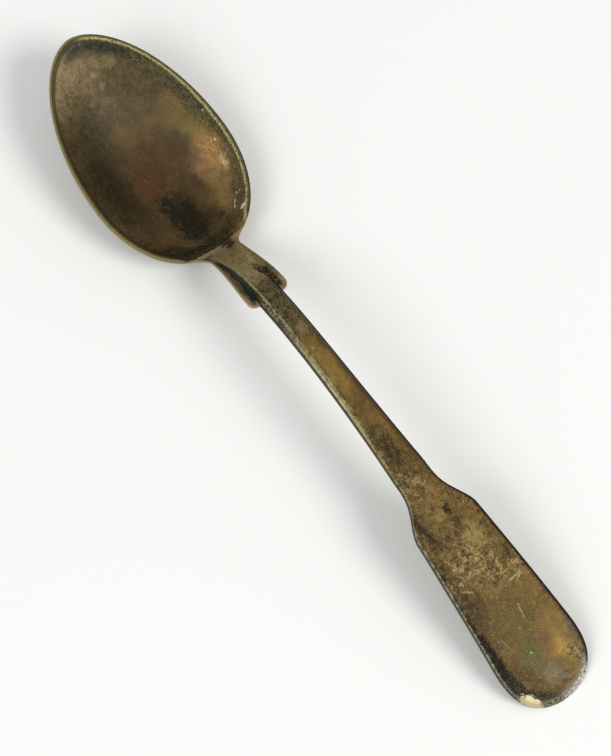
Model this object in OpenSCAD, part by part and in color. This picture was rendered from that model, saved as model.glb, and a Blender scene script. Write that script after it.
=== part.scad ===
// Shouldered fiddle-pattern teaspoon, lying face up on a table.
// X runs from the bowl's tip to the handle's end, Y is mirrored left to right, and
// Z = 0 is the table. The origin is the middle of the spoon's length, on the table.
// Every piece is a plate between a front and a back surface. Neighbours share the
// same upright seam, so they meet face to face with nothing added between them.

/* [Bowl] */
// Length of the bowl, from its tip to its neck
bowl_l = 44.5; // [40:0.1:52]
// Width of the bowl across the outside of its rim
bowl_w = 27.4; // [24:0.1:31]
// Distance from the bowl's tip to its widest place
bowl_widest = 26.6; // [23:0.1:29]
// Distance from the bowl's tip to the middle of the flat that it stands on
bowl_rest = 27.5; // [24:0.1:30]
// Radius of that worn flat
rest_r = 1.9; // [1:0.1:4]
// Height of the rim at the bowl's tip, above the table
rim_tip_h = 13.3; // [11:0.1:15]
// Height of the rim at the neck, above the table
rim_neck_h = 5.1; // [4.5:0.1:7]
// Width of the rim's flat top
rim_w = 0.8; // [0.5:0.05:1.2]
// Width of the rim's flat top where it runs into the stem
rim_neck_w = 1.5; // [1.2:0.05:2.2]
// Height of the rim's outer edge
rim_edge_h = 0.6; // [0.4:0.05:0.9]
// Chamfer on the rim's outer edge
rim_chamfer = 0.15; // [0.05:0.05:0.3]
// Thickness of the bowl's floor over the place that it stands on
floor_t = 1.1; // [0.7:0.05:1.6]

/* [Heel] */
// Length of the heel that laps under the bowl, from the neck to its rounded end
heel_l = 9; // [5:0.1:11]
// Height of the step at the heel's rounded end
heel_step = 0.45; // [0.2:0.05:0.8]

/* [Shoulders] */
// Length from the bowl's neck to the back of the ears
shoulder_l = 14.5; // [10:0.1:16]
// Width across the shoulders where they leave the bowl's rim
shoulder_root_w = 10.6; // [10:0.1:13]
// Width across the shoulders at their narrowest
neck_w = 6.3; // [6.1:0.1:7.5]
// Width across the ears
ear_w = 7.8; // [7.2:0.1:9]
// Length of the hollow curve from the rim to the narrowest place
neck_fillet_l = 2.5; // [2:0.1:4]
// Length of the ears' rounded backs
ear_round_l = 1.3; // [0.8:0.1:2]
// Height of the raised lip along the shoulders' outer edges
shoulder_lip = 0.35; // [0.1:0.05:0.6]
// Chamfer on the shoulders' outer edges
shoulder_chamfer = 0.22; // [0.1:0.02:0.3]

/* [Stem] */
// Length of the plain stem, from the ears to the root of the handle's blade
stem_l = 38; // [32:0.1:46]
// Width of the stem where it meets the bowl
stem_root_w = 6; // [5.4:0.1:6.6]
// Width of the stem behind the ears
stem_w = 4.6; // [4:0.1:5.2]
// Width of the stem where the blade starts
stem_end_w = 6.4; // [5.6:0.1:7.2]
// Width of the stem's front face where it meets the bowl
face_root_w = 5.4; // [4.8:0.1:5.8]
// Width of the stem's front face behind the ears
face_w = 2.9; // [2.4:0.1:3.4]
// Thickness of the stem where it meets the bowl
root_t = 3.3; // [2.8:0.1:3.8]
// Thickness of the stem at the ears
stem_t = 3.3; // [2.9:0.1:3.8]
// Thickness of the stem where the blade starts
stem_end_t = 2; // [1.8:0.1:2.4]
// Height of the stem's bevelled flanks at the ears
flank_h = 1.9; // [1.4:0.1:2.2]
// Height of the stem's bevelled flanks where the blade starts
flank_end_h = 0.75; // [0.5:0.05:0.9]
// Height of the upright side below the flanks, which the shoulders join
side_h = 0.9; // [0.6:0.05:1.1]
// Height of the upright side where the blade starts
side_end_h = 0.5; // [0.3:0.05:0.7]
// Rise of the front face's crown across its width
face_crown = 0.12; // [0.05:0.01:0.3]

/* [Arch] */
// Distance from the neck to the highest place of the handle
crest_run = 27.8; // [24:0.1:34]
// Height of the handle's front face at that place, above the table
crest_h = 16; // [13:0.1:18]
// Angle at which the stem climbs away from the bowl, in degrees
climb_angle = 48; // [30:1:50]
// Depth of the soft bend between the rim and the climbing stem
neck_bend = 0.5; // [0.2:0.05:0.9]

/* [Handle blade] */
// Length of the blade, from the end of the stem to the handle's end
blade_l = 43; // [38:0.1:50]
// Length over which the stem swells into the fiddle's shoulders
fiddle_l = 10.5; // [8:0.1:13]
// Width across the fiddle's shoulders
fiddle_w = 12.3; // [11:0.1:14]
// Greatest width of the blade
blade_w = 15.8; // [14.2:0.1:18]
// Length of the blade's rounded end
blade_round_l = 9; // [7:0.1:11]
// Thickness of the blade behind the fiddle's shoulders
blade_t = 1.5; // [1.3:0.05:1.9]
// Thickness of the blade at its end
blade_end_t = 1.2; // [1.1:0.05:1.4]
// Width of the bevel round the blade's front edge
blade_bevel_w = 0.45; // [0.3:0.05:0.7]
// Height of that bevel
blade_bevel_h = 0.4; // [0.25:0.05:0.45]
// Height of the upright edge below the bevel
blade_edge_h = 0.4; // [0.25:0.05:0.5]
// How far the end's back edge has worn flat on the table
end_wear = 0.12; // [0.05:0.01:0.2]

/* [Hidden] */

// Places along the spoon, from the bowl's tip
ear_x = bowl_l + shoulder_l;
blade_x = ear_x + stem_l;
spoon_l = blade_x + blade_l;
crest_x = bowl_l + crest_run;
round_x = spoon_l - blade_round_l;

// Powers that bend the curves: the rim's sweep up to the tip, the fall of the arch and
// the droop of its end, the bowl's section and its outline before and behind the
// widest place, the hollow of the neck, the flare of the stem into the bowl and the
// growth of its flanks
sweep_power = 1.3;
fall_power = 1.6;
droop_power = 6;
bowl_power = 2.2;
tip_power = 1.8;
rear_power = 2.26;
neck_power = 2.4;
flare_power = 3;
flank_power = 1.2;
// The heel's swell, its rounded end and how many times as wide it may grow before that,
// the stem's taper and thinning, the fiddle's shoulders, the roundness of the ears and
// of the blade's end, and how late the blade's rows bend round to follow that end
heel_power = 1.6;
heel_end_power = 3;
heel_flare_share = 1.4;
taper_power = 2.5;
thinning_power = 1.3;
fiddle_power = 1.75;
ear_power = 2.2;
end_power = 2.75;
bow_power = 8;
// Roundness of the back: an ellipse on the stem, nearly flat on the blade
back_power = 2;
flat_back_power = 7;

// Steps along and across each piece
rim_steps = 30;
ring_steps = 12;
heel_steps = 7;
shoulder_steps = 18;
stem_steps = 32;
blade_steps = 22;
end_steps = 8;
// How the bowl's rings crowd towards its rim, inside and on the back, and the
// shoulders' rows towards their ears
hollow_ring_power = 0.8;
back_ring_power = 0.9;
ear_row_power = 1.35;

// Where the front's columns stand: shares of the face's half width and of the flank
face_shares = [0, 0.35, 0.7, 1];
flank_shares = [0.3, 0.65, 1];
// Columns of a shoulder, as shares of the way from the stem to the outer edge
wing_shares = [0, 0.25, 0.5, 0.72, 0.9, 1];
// How far each of those columns has been taken down by the edge's chamfer
wing_chamfer_shares = [0, 0, 0, 0, 0.25, 1];
// Part of the arch's fall that the droop of its end takes
droop_share = 0.155;
// Width of the ear's end face, as a share of the ear
ear_end_share = 0.35;
// Part of the shoulders' length over which their chamfer and their thickness change
chamfer_start_share = 0.25;
drop_change_share = 0.5;
// Part of the shoulders' half width at the bowl where the rim's top is at its widest
neck_rim_share = 0.35;
// Length of the heel at its sides, as a share of its length in the middle
heel_side_share = 0.25;
// Angle on the blade's rounded end where its side becomes its end edge
corner_angle = 45;
// How far the last rows of the blade have been taken down by the edge's bevel
end_bevel_shares = [0, 0.12, 1];

function clamped(t) = min(max(t, 0), 1);
function ease(t) = let (c = clamped(t)) c * c * (3 - 2 * c);
function blend(a, b, t) = a + (b - a) * t;

// Height of the front along the spoon: the rim sweeps down from the tip to the neck,
// the stem climbs away behind it, arches over its crest and falls until the back edge of
// its end touches the table
end_front_h = blade_bevel_h + blade_edge_h - end_wear;
function rim_h(x) = blend(rim_neck_h, rim_tip_h, pow(clamped(1 - x / bowl_l), sweep_power));
function climb_h(x) =
    let (t = clamped((x - bowl_l) / crest_run), climb = tan(climb_angle))
    x < bowl_l ? rim_neck_h + climb * (x - bowl_l)
    : blend(rim_neck_h, crest_h, ease(t)) + climb * crest_run * t * pow(1 - t, 2);
function fall_h(x) =
    let (t = (x - crest_x) / (spoon_l - crest_x))
    blend(crest_h, end_front_h, blend(pow(t, fall_power), pow(t, droop_power), droop_share));
function soft_max(a, b, bend) = (a + b + norm([a - b, bend])) / 2;
function front_h(x) =
    let (bend = neck_bend * clamped(1 - abs(x - bowl_l) / crest_run))
    x < crest_x ? soft_max(rim_h(x), climb_h(x), bend) : fall_h(x);

// The outline of the bowl, a little pointed before its widest place and full behind
function egg(angle) =
    let (c = cos(angle), s = sin(angle), power = c < 0 ? tip_power : rear_power)
    [
        bowl_widest + (c < 0 ? bowl_widest : bowl_l - bowl_widest) * c,
        bowl_w / 2 * sign(s) * pow(abs(s), 2 / power)
    ];
function rear_angle(y) = sign(y) * asin(pow(2 * abs(y) / bowl_w, rear_power / 2));
function neck_point(y) = egg(rear_angle(y));

// Columns across the stem and the blade, from one side to the other
function half_columns(face, side) = concat(
    [for (s = face_shares) face * s],
    [for (s = flank_shares) blend(face, side, s)]
);
function columns(face, side) =
    let (half = half_columns(face, side))
    concat([for (i = [len(half) - 1 : -1 : 1]) -half[i]], half);

// The stem beside the shoulders, where t runs from 0 at the bowl to 1 at the ears
function shoulder_side(t) = blend(stem_w, stem_root_w, pow(1 - t, flare_power)) / 2;
function shoulder_face(t) = blend(face_w, face_root_w, pow(1 - t, flare_power)) / 2;
function shoulder_flank(t) = flank_h * pow(t, flank_power);
function shoulder_drop(t) = blend(rim_edge_h + heel_step, side_h, ease(t / drop_change_share));
function shoulder_back(t) = blend(root_t, stem_t, t);

// The shoulders' outer edge, from the bowl's rim to the ears' rounded backs
wing_root = neck_point(shoulder_root_w / 2);
neck_end = wing_root.x + neck_fillet_l;
ear_start = ear_x - ear_round_l;
function wing_edge(x) =
    let (hollow = pow(clamped(1 - (x - wing_root.x) / neck_fillet_l), neck_power))
    blend(neck_w, shoulder_root_w, hollow) / 2
    + (ear_w - neck_w) / 2 * ease((x - neck_end) / (ear_start - neck_end));
function ear_closing(x) =
    let (u = clamped((x - ear_start) / ear_round_l))
    blend(ear_end_share, 1, pow(1 - pow(u, ear_power), 1 / ear_power));
function shoulder_t(i) = 1 - pow(1 - i / shoulder_steps, ear_row_power);

// The stem and the blade behind the ears
fiddle_x = blade_x + fiddle_l;
function share_between(x, from, to) = clamped((x - from) / (to - from));
function on_handle(x, at_ears, at_stem_end, at_fiddle, at_end) =
    x < blade_x ? blend(at_ears, at_stem_end, pow(share_between(x, ear_x, blade_x), thinning_power))
    : x < fiddle_x ? blend(at_stem_end, at_fiddle, ease(share_between(x, blade_x, fiddle_x)))
    : blend(at_fiddle, at_end, share_between(x, fiddle_x, spoon_l));
function blade_edge(x) = blend(fiddle_w, blade_w, share_between(x, fiddle_x, round_x));
function handle_side(x) =
    x < blade_x ? blend(stem_w, stem_end_w, pow(share_between(x, ear_x, blade_x), taper_power)) / 2
    : blend(stem_end_w, blade_edge(x), pow(ease(share_between(x, blade_x, fiddle_x)), fiddle_power)) / 2;
function handle_inset(x) =
    on_handle(x, (stem_w - face_w) / 2, blade_bevel_w, blade_bevel_w, blade_bevel_w);
function handle_flank(x) = on_handle(x, flank_h, flank_end_h, blade_bevel_h, blade_bevel_h);
function handle_drop(x) = on_handle(x, side_h, side_end_h, blade_edge_h, blade_edge_h);
function handle_back(x) = on_handle(x, stem_t, stem_end_t, blade_t, blade_end_t);
function handle_round(x) = on_handle(x, back_power, back_power, flat_back_power, flat_back_power);

// Front and back of a section, measured from the front's height: y across, the half
// widths of the face and of the whole, the flank's height, the upright side's height,
// the thickness and the back's roundness. worn takes the face down to the bevel
function section_front(y, face, side, flank, worn = 0) =
    let (
        crown = face_crown * flank / flank_h * pow(min(abs(y) / face, 1), 2),
        bevel = max(clamped((abs(y) - face) / (side - face)), worn)
    )
    -blend(crown, flank, bevel);
function section_back(y, side, flank, drop, thick, roundness) =
    let (lift = 1 - pow(clamped(1 - pow(abs(y) / side, roundness)), 1 / roundness))
    -blend(thick, flank + drop, lift);

// A closed plate. Each row holds points as [x, y, height of the front, of the back]
module plate(rows) {
    cols = len(rows[0]);
    count = len(rows) * cols;
    last = len(rows) - 1;
    front = [for (row = rows) each [for (p = row) [p[0], p[1], p[2]]]];
    back = [for (row = rows) each [for (p = row) [p[0], p[1], p[3]]]];
    function at(i, j) = i * cols + j;
    function under(i, j) = count + at(i, j);
    function quad(a, b, c, d) = [[a, b, c], [a, c, d]];
    skins = [for (i = [0 : last - 1], j = [0 : cols - 2]) each concat(
        quad(at(i, j), at(i, j + 1), at(i + 1, j + 1), at(i + 1, j)),
        quad(under(i, j), under(i + 1, j), under(i + 1, j + 1), under(i, j + 1))
    )];
    sides = [for (i = [0 : last - 1]) each concat(
        quad(at(i, 0), at(i + 1, 0), under(i + 1, 0), under(i, 0)),
        quad(at(i + 1, cols - 1), at(i, cols - 1), under(i, cols - 1), under(i + 1, cols - 1))
    )];
    ends = [for (j = [0 : cols - 2]) each concat(
        quad(at(0, j + 1), at(0, j), under(0, j), under(0, j + 1)),
        quad(at(last, j), at(last, j + 1), under(last, j + 1), under(last, j))
    )];
    translate([-spoon_l / 2, 0, 0])
        polyhedron(points = concat(front, back), faces = concat(skins, sides, ends), convexity = 6);
}

// The rim's corner points: the neck's columns first, shared with the stem and the
// shoulders, and then the free rim round the tip
stem_root = columns(face_root_w / 2, stem_root_w / 2);
wing_root_y = [for (s = wing_shares) blend(stem_root_w, shoulder_root_w, s) / 2];
neck_y = concat(
    [for (i = [len(wing_root_y) - 1 : -1 : 1]) -wing_root_y[i]],
    stem_root,
    [for (i = [1 : len(wing_root_y) - 1]) wing_root_y[i]]
);
free_angle = rear_angle(shoulder_root_w / 2);
free_step = (360 - 2 * free_angle) / (2 * rim_steps);
rim = concat(
    [for (y = neck_y) neck_point(y)],
    [for (i = [1 : 2 * rim_steps - 1]) egg(free_angle + i * free_step)]
);
rest = [bowl_rest, 0];

// The rim's top is wider where it runs into the stem, and has no chamfer where the
// stem and the shoulders join it
function neck_share(p) =
    p.x < bowl_widest ? 0 : 1 - ease(2 * abs(p.y) / shoulder_root_w - neck_rim_share);
function is_joined(p) = p.x > wing_root.x - rim_chamfer && abs(p.y) < shoulder_root_w / 2;
function pulled_in(p, inset) = rest + (p - rest) * (1 - inset / norm(p - rest));
function inner_rim(p) = pulled_in(p, blend(rim_w, rim_neck_w, neck_share(p)));
function chamfered_rim(p) = is_joined(p) ? p : pulled_in(p, rim_chamfer);

// A point of the bowl's hollow and of its back, where q runs from 0 at the middle of
// the flat that it rests on to 1 at the rim
function hollow_point(p, q) =
    let (edge = inner_rim(p), at = blend(rest, edge, q))
    [at.x, at.y, blend(floor_t, front_h(edge.x), pow(q, bowl_power))];
function rest_share(p) = rest_r / norm(p - rest);
function back_point(p, q) =
    let (
        at = blend(rest, p, q),
        flat = pow(rest_share(p), bowl_power),
        lift = clamped((pow(q, bowl_power) - flat) / (1 - flat))
    )
    [at.x, at.y, (front_h(p.x) - rim_edge_h) * lift];

// Rings of points run from the middle of the hollow over the rim to the rest flat
module bowl() {
    count = len(rim);
    hollow_q = [for (i = [1 : ring_steps]) pow(i / ring_steps, hollow_ring_power)];
    back_q = [for (i = [ring_steps - 1 : -1 : 0]) pow(i / ring_steps, back_ring_power)];
    rings = concat(
        [for (q = hollow_q) [for (p = rim) hollow_point(p, q)]],
        [[for (p = rim) [each chamfered_rim(p), front_h(p.x)]]],
        [[for (p = rim) [each p, front_h(p.x) - rim_chamfer]]],
        [[for (p = rim) back_point(p, 1)]],
        [for (q = back_q) [for (p = rim) back_point(p, blend(rest_share(p), 1, q))]]
    );
    last = len(rings) - 1;
    floor_middle = len(rings) * count;
    points = concat([for (ring = rings) each ring], [[each rest, floor_t]]);
    function at(i, j) = i * count + j % count;
    walls = [for (i = [0 : last - 1], j = [0 : count - 1]) each [
        [at(i, j), at(i + 1, j + 1), at(i + 1, j)],
        [at(i, j), at(i, j + 1), at(i + 1, j + 1)]
    ]];
    floor_fan = [for (j = [0 : count - 1]) [floor_middle, at(0, j + 1), at(0, j)]];
    rest_flat = [[for (j = [0 : count - 1]) at(last, j)]];
    color([0.36, 0.3, 0.2])
        translate([-spoon_l / 2, 0, 0])
            polyhedron(points = points, faces = concat(floor_fan, walls, rest_flat), convexity = 6);
}

// The heel lies on the bowl's back. It is deep at the neck, where it runs on into the
// stem's back, and thins to a low step round its end
function heel_start(y) =
    let (v = 2 * abs(y) / stem_root_w, bulge = pow(clamped(1 - pow(v, heel_end_power)), 1 / heel_end_power))
    1 - heel_l / (bowl_l - bowl_rest) * blend(heel_side_share, 1, bulge);
function root_depth(y) =
    -rim_edge_h - section_back(y, stem_root_w / 2, 0, rim_edge_h + heel_step, root_t, back_power);
module heel() {
    color([0.42, 0.36, 0.24]) plate([
        for (i = [0 : heel_steps]) let (s = i / heel_steps) [
            for (y = stem_root) let (
                rim_y = y * blend(heel_flare_share, 1, s),
                p = back_point(neck_point(rim_y), blend(heel_start(y), 1, s)),
                depth = blend(heel_step, root_depth(y), pow(s, heel_power))
            ) [p.x, p.y, p.z, max(p.z - depth, 0)]
        ]
    ]);
}

// One shoulder, on the left where side is -1 and on the right where it is 1
module shoulder(side) {
    last = len(wing_shares) - 1;
    order = side < 0 ? [last : -1 : 0] : [0 : 1 : last];
    plate([for (i = [0 : shoulder_steps]) let (t = shoulder_t(i)) [
        for (k = order) let (
            v = wing_shares[k],
            x = blend(neck_point(blend(stem_root_w, shoulder_root_w, v) / 2).x, ear_x, t),
            edge_x = blend(wing_root.x, ear_x, t),
            inner = shoulder_side(t),
            edge = blend(inner, wing_edge(edge_x), ear_closing(edge_x)),
            ledge = front_h(x) - shoulder_flank(t),
            lip = shoulder_lip * shoulder_flank(t) / flank_h * pow(v, 2),
            chamfer = shoulder_chamfer * wing_chamfer_shares[k] * ease(t / chamfer_start_share),
            thick = blend(shoulder_drop(t), min(rim_edge_h, side_h), v)
        ) [x, side * blend(inner, edge, v), ledge + lip - chamfer, ledge - thick + chamfer]
    ]]);
}
module left_shoulder() {
    color([0.33, 0.3, 0.21]) shoulder(-1);
}
module right_shoulder() {
    color([0.4, 0.34, 0.24]) shoulder(1);
}

// The stem's rows start on the bowl's curved neck and straighten out by the ears
function shoulder_row(t) =
    let (side = shoulder_side(t), face = shoulder_face(t), across = columns(face, side))
    [for (j = [0 : len(across) - 1]) let (
        y = across[j],
        x = blend(neck_point(stem_root[j]).x, ear_x, t),
        back = section_back(y, side, shoulder_flank(t), shoulder_drop(t), shoulder_back(t), back_power)
    ) [x, y, front_h(x) + section_front(y, face, side, shoulder_flank(t)), front_h(x) + back]];
function handle_row(x) =
    let (side = handle_side(x), face = side - handle_inset(x))
    [for (y = columns(face, side)) let (
        back = section_back(y, side, handle_flank(x), handle_drop(x), handle_back(x), handle_round(x))
    ) [x, y, front_h(x) + section_front(y, face, side, handle_flank(x)), front_h(x) + back]];
module stem() {
    color([0.5, 0.42, 0.26]) plate(concat(
        [for (i = [0 : shoulder_steps]) shoulder_row(shoulder_t(i))],
        [for (i = [1 : stem_steps]) handle_row(blend(ear_x, blade_x, i / stem_steps))]
    ));
}

// The blade's rows follow its sides, and then bend until the last one is its end
function round_point(angle) =
    [round_x + blade_round_l * pow(cos(angle), 2 / end_power), blade_w / 2 * sin(angle)];
blade_sides = concat(
    [for (i = [0 : blade_steps]) let (x = blend(blade_x, round_x, i / blade_steps)) [x, handle_side(x)]],
    [for (i = [1 : end_steps]) round_point(blend(90, corner_angle, i / end_steps))]
);
function blade_row(i) =
    let (
        last = len(blade_sides) - 1,
        corner_x = blade_sides[last].x,
        at = blade_sides[i].x,
        side = blade_sides[i].y,
        face = side - handle_inset(at),
        bow = pow((at - blade_x) / (corner_x - blade_x), bow_power),
        worn = end_bevel_shares[max(i - last + len(end_bevel_shares) - 1, 0)]
    )
    [for (y = columns(face, side)) let (
        end_x = round_point(asin(y / side * sin(corner_angle))).x,
        x = at + bow * (end_x - corner_x),
        flank = handle_flank(x),
        drop = handle_drop(x),
        back = section_back(y, side, flank, drop, handle_back(x), handle_round(x))
    ) [
        x, y,
        front_h(x) + section_front(y, face, side, flank, worn),
        max(front_h(x) + blend(back, -flank - drop, worn), 0)
    ]];
module handle_blade() {
    color([0.47, 0.38, 0.23]) plate([for (i = [0 : len(blade_sides) - 1]) blade_row(i)]);
}

bowl();
heel();
left_shoulder();
right_shoulder();
stem();
handle_blade();
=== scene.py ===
# %% [markdown]
# # Dressing a tarnished teaspoon
# The object is a shouldered, fiddle-pattern teaspoon in old silver plate. A packed CAD
# model gives its six pieces at their real size. This lesson keeps those sizes, makes
# each piece again as a finer mesh from the same formulas, and gives it a finish.
# X runs from the bowl's tip to the handle's end, Z is up, and Z = 0 is the table.

# %% Tools and the frame
import math
from types import SimpleNamespace

import bpy
import numpy as np
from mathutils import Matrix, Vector


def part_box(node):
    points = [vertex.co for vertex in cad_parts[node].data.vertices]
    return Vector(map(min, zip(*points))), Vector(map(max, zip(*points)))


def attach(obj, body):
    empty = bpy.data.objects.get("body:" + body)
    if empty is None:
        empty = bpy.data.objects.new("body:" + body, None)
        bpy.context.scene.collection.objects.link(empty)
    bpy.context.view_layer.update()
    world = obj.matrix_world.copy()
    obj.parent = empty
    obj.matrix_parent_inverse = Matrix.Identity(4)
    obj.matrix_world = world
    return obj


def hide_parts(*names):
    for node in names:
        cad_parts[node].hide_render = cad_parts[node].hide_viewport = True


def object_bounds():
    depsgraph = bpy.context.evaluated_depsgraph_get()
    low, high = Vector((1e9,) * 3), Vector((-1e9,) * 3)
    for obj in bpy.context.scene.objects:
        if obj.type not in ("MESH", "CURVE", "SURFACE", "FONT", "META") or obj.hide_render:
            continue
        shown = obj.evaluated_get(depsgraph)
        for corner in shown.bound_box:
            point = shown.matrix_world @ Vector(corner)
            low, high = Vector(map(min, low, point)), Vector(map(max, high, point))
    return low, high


MM = 0.001
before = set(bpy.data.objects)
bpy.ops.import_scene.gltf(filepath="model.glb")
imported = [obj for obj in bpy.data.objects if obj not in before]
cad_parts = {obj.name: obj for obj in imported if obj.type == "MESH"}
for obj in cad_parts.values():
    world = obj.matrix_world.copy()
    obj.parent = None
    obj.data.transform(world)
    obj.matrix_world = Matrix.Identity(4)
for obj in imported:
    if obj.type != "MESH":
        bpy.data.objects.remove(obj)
cad_low, cad_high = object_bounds()
print("CAD box in mm:", [round(v / MM, 2) for v in (*cad_low, *cad_high)])

# %% [markdown]
# ## The camera first
# The photograph looks down at the spoon, about 19 degrees off the upright, and turned
# so that the bowl is at the top left. The camera comes first, because every later step
# is judged through it. A long lens far away keeps the spoon's proportions. The lens is
# worked out from the photograph's own frame, whose long side matches the sensor.

# %% Camera
PHOTO_LONG_SIDE = 756  # pixels
FOCAL_LENGTH = 2500.2  # pixels of the same frame
SENSOR_WIDTH = 36  # mm
CAMERA_DISTANCE = 425 * MM
CAMERA_TILT = math.radians(18.98)
CAMERA_TURN = math.radians(-36.66)
LOOKED_AT = Vector((0.34, -1.3, 0)) * MM


def make_camera():
    """The photograph's view: on a sphere round the place it looks at, with Z upwards."""
    lens = bpy.data.cameras.new("photo_view")
    lens.sensor_width = SENSOR_WIDTH
    lens.lens = FOCAL_LENGTH / PHOTO_LONG_SIDE * SENSOR_WIDTH
    camera = bpy.data.objects.new("photo_view", lens)
    across = math.sin(CAMERA_TILT)
    towards = Vector(
        (across * math.cos(CAMERA_TURN), across * math.sin(CAMERA_TURN), math.cos(CAMERA_TILT))
    )
    camera.location = LOOKED_AT + towards * CAMERA_DISTANCE
    camera.rotation_mode = "QUATERNION"
    camera.rotation_quaternion = (-towards).to_track_quat("-Z", "Y")
    bpy.context.scene.collection.objects.link(camera)
    bpy.context.scene.camera = camera
    return camera


camera = make_camera()
print("camera at", [round(v, 4) for v in camera.location], "lens", round(camera.data.lens, 1))

# %% [markdown]
# ## Sums on sockets
# Both materials and Geometry Nodes are built from small sums. Adding a Math node for
# each plus or times hides the formula, so this class wraps a socket and lets Python's
# own operators add the nodes. Any other node comes from its method node, which takes
# the node's type, its settings, and the values or links of its sockets.


# %% Sums on sockets
class Wire:
    """A socket of a node tree. Python's operators on it add Math nodes to that tree."""

    __array_ufunc__ = None

    def __init__(self, tree, socket=None):
        self.tree = tree
        self.socket = socket

    def node(self, kind, settings=None, sockets=None, output=0):
        """Any node: its settings are set first, then the values or links of its sockets."""
        made = self.tree.nodes.new(kind)
        for name, value in (settings or {}).items():
            setattr(made, name, value)
        for name, value in (sockets or {}).items():
            if isinstance(value, Wire):
                self.tree.links.new(value.socket, made.inputs[name])
            else:
                made.inputs[name].default_value = value
        return Wire(self.tree, made.outputs[output] if len(made.outputs) else None)

    def other(self, output):
        """Another output of the node that this wire comes from."""
        return Wire(self.tree, self.socket.node.outputs[output])

    def maths(self, operation, *values):
        """A Math node on these numbers and wires."""
        return self.node("ShaderNodeMath", {"operation": operation}, dict(enumerate(values)))

    def vector(self, x, y, z):
        """Three numbers or wires side by side."""
        return self.node("ShaderNodeCombineXYZ", sockets={"X": x, "Y": y, "Z": z})

    def __add__(self, value):
        return self.maths("ADD", self, value)

    def __sub__(self, value):
        return self.maths("SUBTRACT", self, value)

    def __mul__(self, value):
        return self.maths("MULTIPLY", self, value)

    def __truediv__(self, value):
        return self.maths("DIVIDE", self, value)

    def __pow__(self, value):
        return self.maths("POWER", self, value)

    def __rsub__(self, value):
        return self.maths("SUBTRACT", value, self)

    def __rtruediv__(self, value):
        return self.maths("DIVIDE", value, self)

    def __rpow__(self, value):
        return self.maths("POWER", value, self)

    def __neg__(self):
        return self * -1

    __radd__ = __add__
    __rmul__ = __mul__


methods = [name.strip("_") for name, made in vars(Wire).items() if callable(made)]
print("a Wire can", ", ".join(methods))

# %% [markdown]
# The same formulas then work on plain numbers, on whole arrays of points and on
# sockets. These few helpers choose by what they are given.

# %% Helpers for numbers and for sockets
NODE_OPERATIONS = {"cos": "COSINE", "sin": "SINE", "arccos": "ARCCOSINE", "less": "LESS_THAN"}


def calc(name, *values):
    """numpy's function of that name on numbers, or the Math node on sockets."""
    for value in values:
        if isinstance(value, Wire):
            return value.maths(NODE_OPERATIONS.get(name, name.upper()), *values)
    return getattr(np, name)(*values)


def clamped(t):
    return calc("minimum", calc("maximum", t, 0), 1)


def ease(t):
    c = clamped(t)
    return c * c * (3 - 2 * c)


def blend(a, b, t):
    return a + (b - a) * t


def choose(test, yes, no):
    """yes where test is 1, and no where it is 0."""
    return no + (yes - no) * test


def span(t, start, end):
    """0 up to start, 1 from end on, and straight in between."""
    return clamped((t - start) / (end - start))


def soft_max(a, b, bend):
    return (a + b + calc("sqrt", (a - b) ** 2 + bend**2)) / 2


def soft_min(a, b, bend):
    return (a + b - calc("sqrt", (a - b) ** 2 + bend**2)) / 2


print("half way along an ease:", ease(0.5))

# %% [markdown]
# ## The spoon's sizes
# The overall sizes are read from the CAD nodes, so the dressed spoon can't drift from
# the packed one. The smaller ones can't be read from a box. They repeat the CAD source's
# values under its names, in millimetres, with X measured from the bowl's tip. A power
# says how a line bends: 1 is straight, 2 is round, and more is fuller.

# %% Sizes from the frame
cad = {}
for node_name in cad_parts:
    low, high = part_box(node_name)
    cad[node_name] = SimpleNamespace(low=low / MM, high=high / MM)
    for corner in (cad[node_name].low, cad[node_name].high):
        corner.x -= cad_low.x / MM
spoon_l = (cad_high.x - cad_low.x) / MM
ear_x = cad["left_shoulder"].high.x
blade_x = cad["handle_blade"].low.x
blade_w = cad["handle_blade"].high.y - cad["handle_blade"].low.y
crest_h = cad["stem"].high.z
bowl = SimpleNamespace(
    length=cad["bowl"].high.x,
    width=2 * cad["bowl"].high.y,
    widest=26.6,
    rest=27.5,
    rest_r=1.9,
    rim_w=0.8,
    rim_neck_w=1.5,
    edge=0.6,
    rounding=0.16,
    floor=1.1,
)
print("spoon", spoon_l, "bowl", bowl.length, "ears at", ear_x, "blade from", blade_x)

# %% Sizes that repeat the CAD source
# The side view
rim_tip_h = 13.3
rim_neck_h = 5.1
crest_run = 27.8
crest_x = bowl.length + crest_run
climb_angle = 48
climb_slope = math.tan(math.radians(climb_angle))
neck_bend = 0.5
end_front_h = 0.68
# The shoulders
shoulder_root_w = 10.6
neck_w = 6.3
ear_w = 7.8
neck_fillet_l = 2.5
ear_round_l = 1.3
shoulder_lip = 0.35
# The stem: at its root, along its length and at the blade
stem_root_w = 6
stem_w = 4.6
stem_end_w = 6.4
face_root_w = 5.4
face_w = 2.9
root_t = 3.3
stem_t = 3.3
stem_end_t = 2
flank_h = 1.9
flank_end_h = 0.75
side_h = 0.9
side_end_h = 0.5
face_crown = 0.12
# The blade
fiddle_l = 10.5
fiddle_x = blade_x + fiddle_l
fiddle_w = 12.3
blade_round_l = 9
round_x = spoon_l - blade_round_l
blade_t = 1.5
blade_end_t = 1.2
bevel_w = 0.45
bevel_h = 0.4
blade_edge_h = 0.4
# The heel
heel_l = 9
heel_step = 0.45
print("blade", blade_w, "wide and", blade_t, "thick; its end turns round from", round_x)

# %% Powers and shares that repeat the CAD source
# The side view: the rim's sweep, the handle's fall and the droop of its last part
sweep_power = 1.3
fall_power = 1.6
droop_power = 6
droop_share = 0.155
# The bowl: its depth, its outline and the rim by the neck
bowl_power = 2.2
tip_power = 1.8
rear_power = 2.26
neck_rim_share = 0.35
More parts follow.
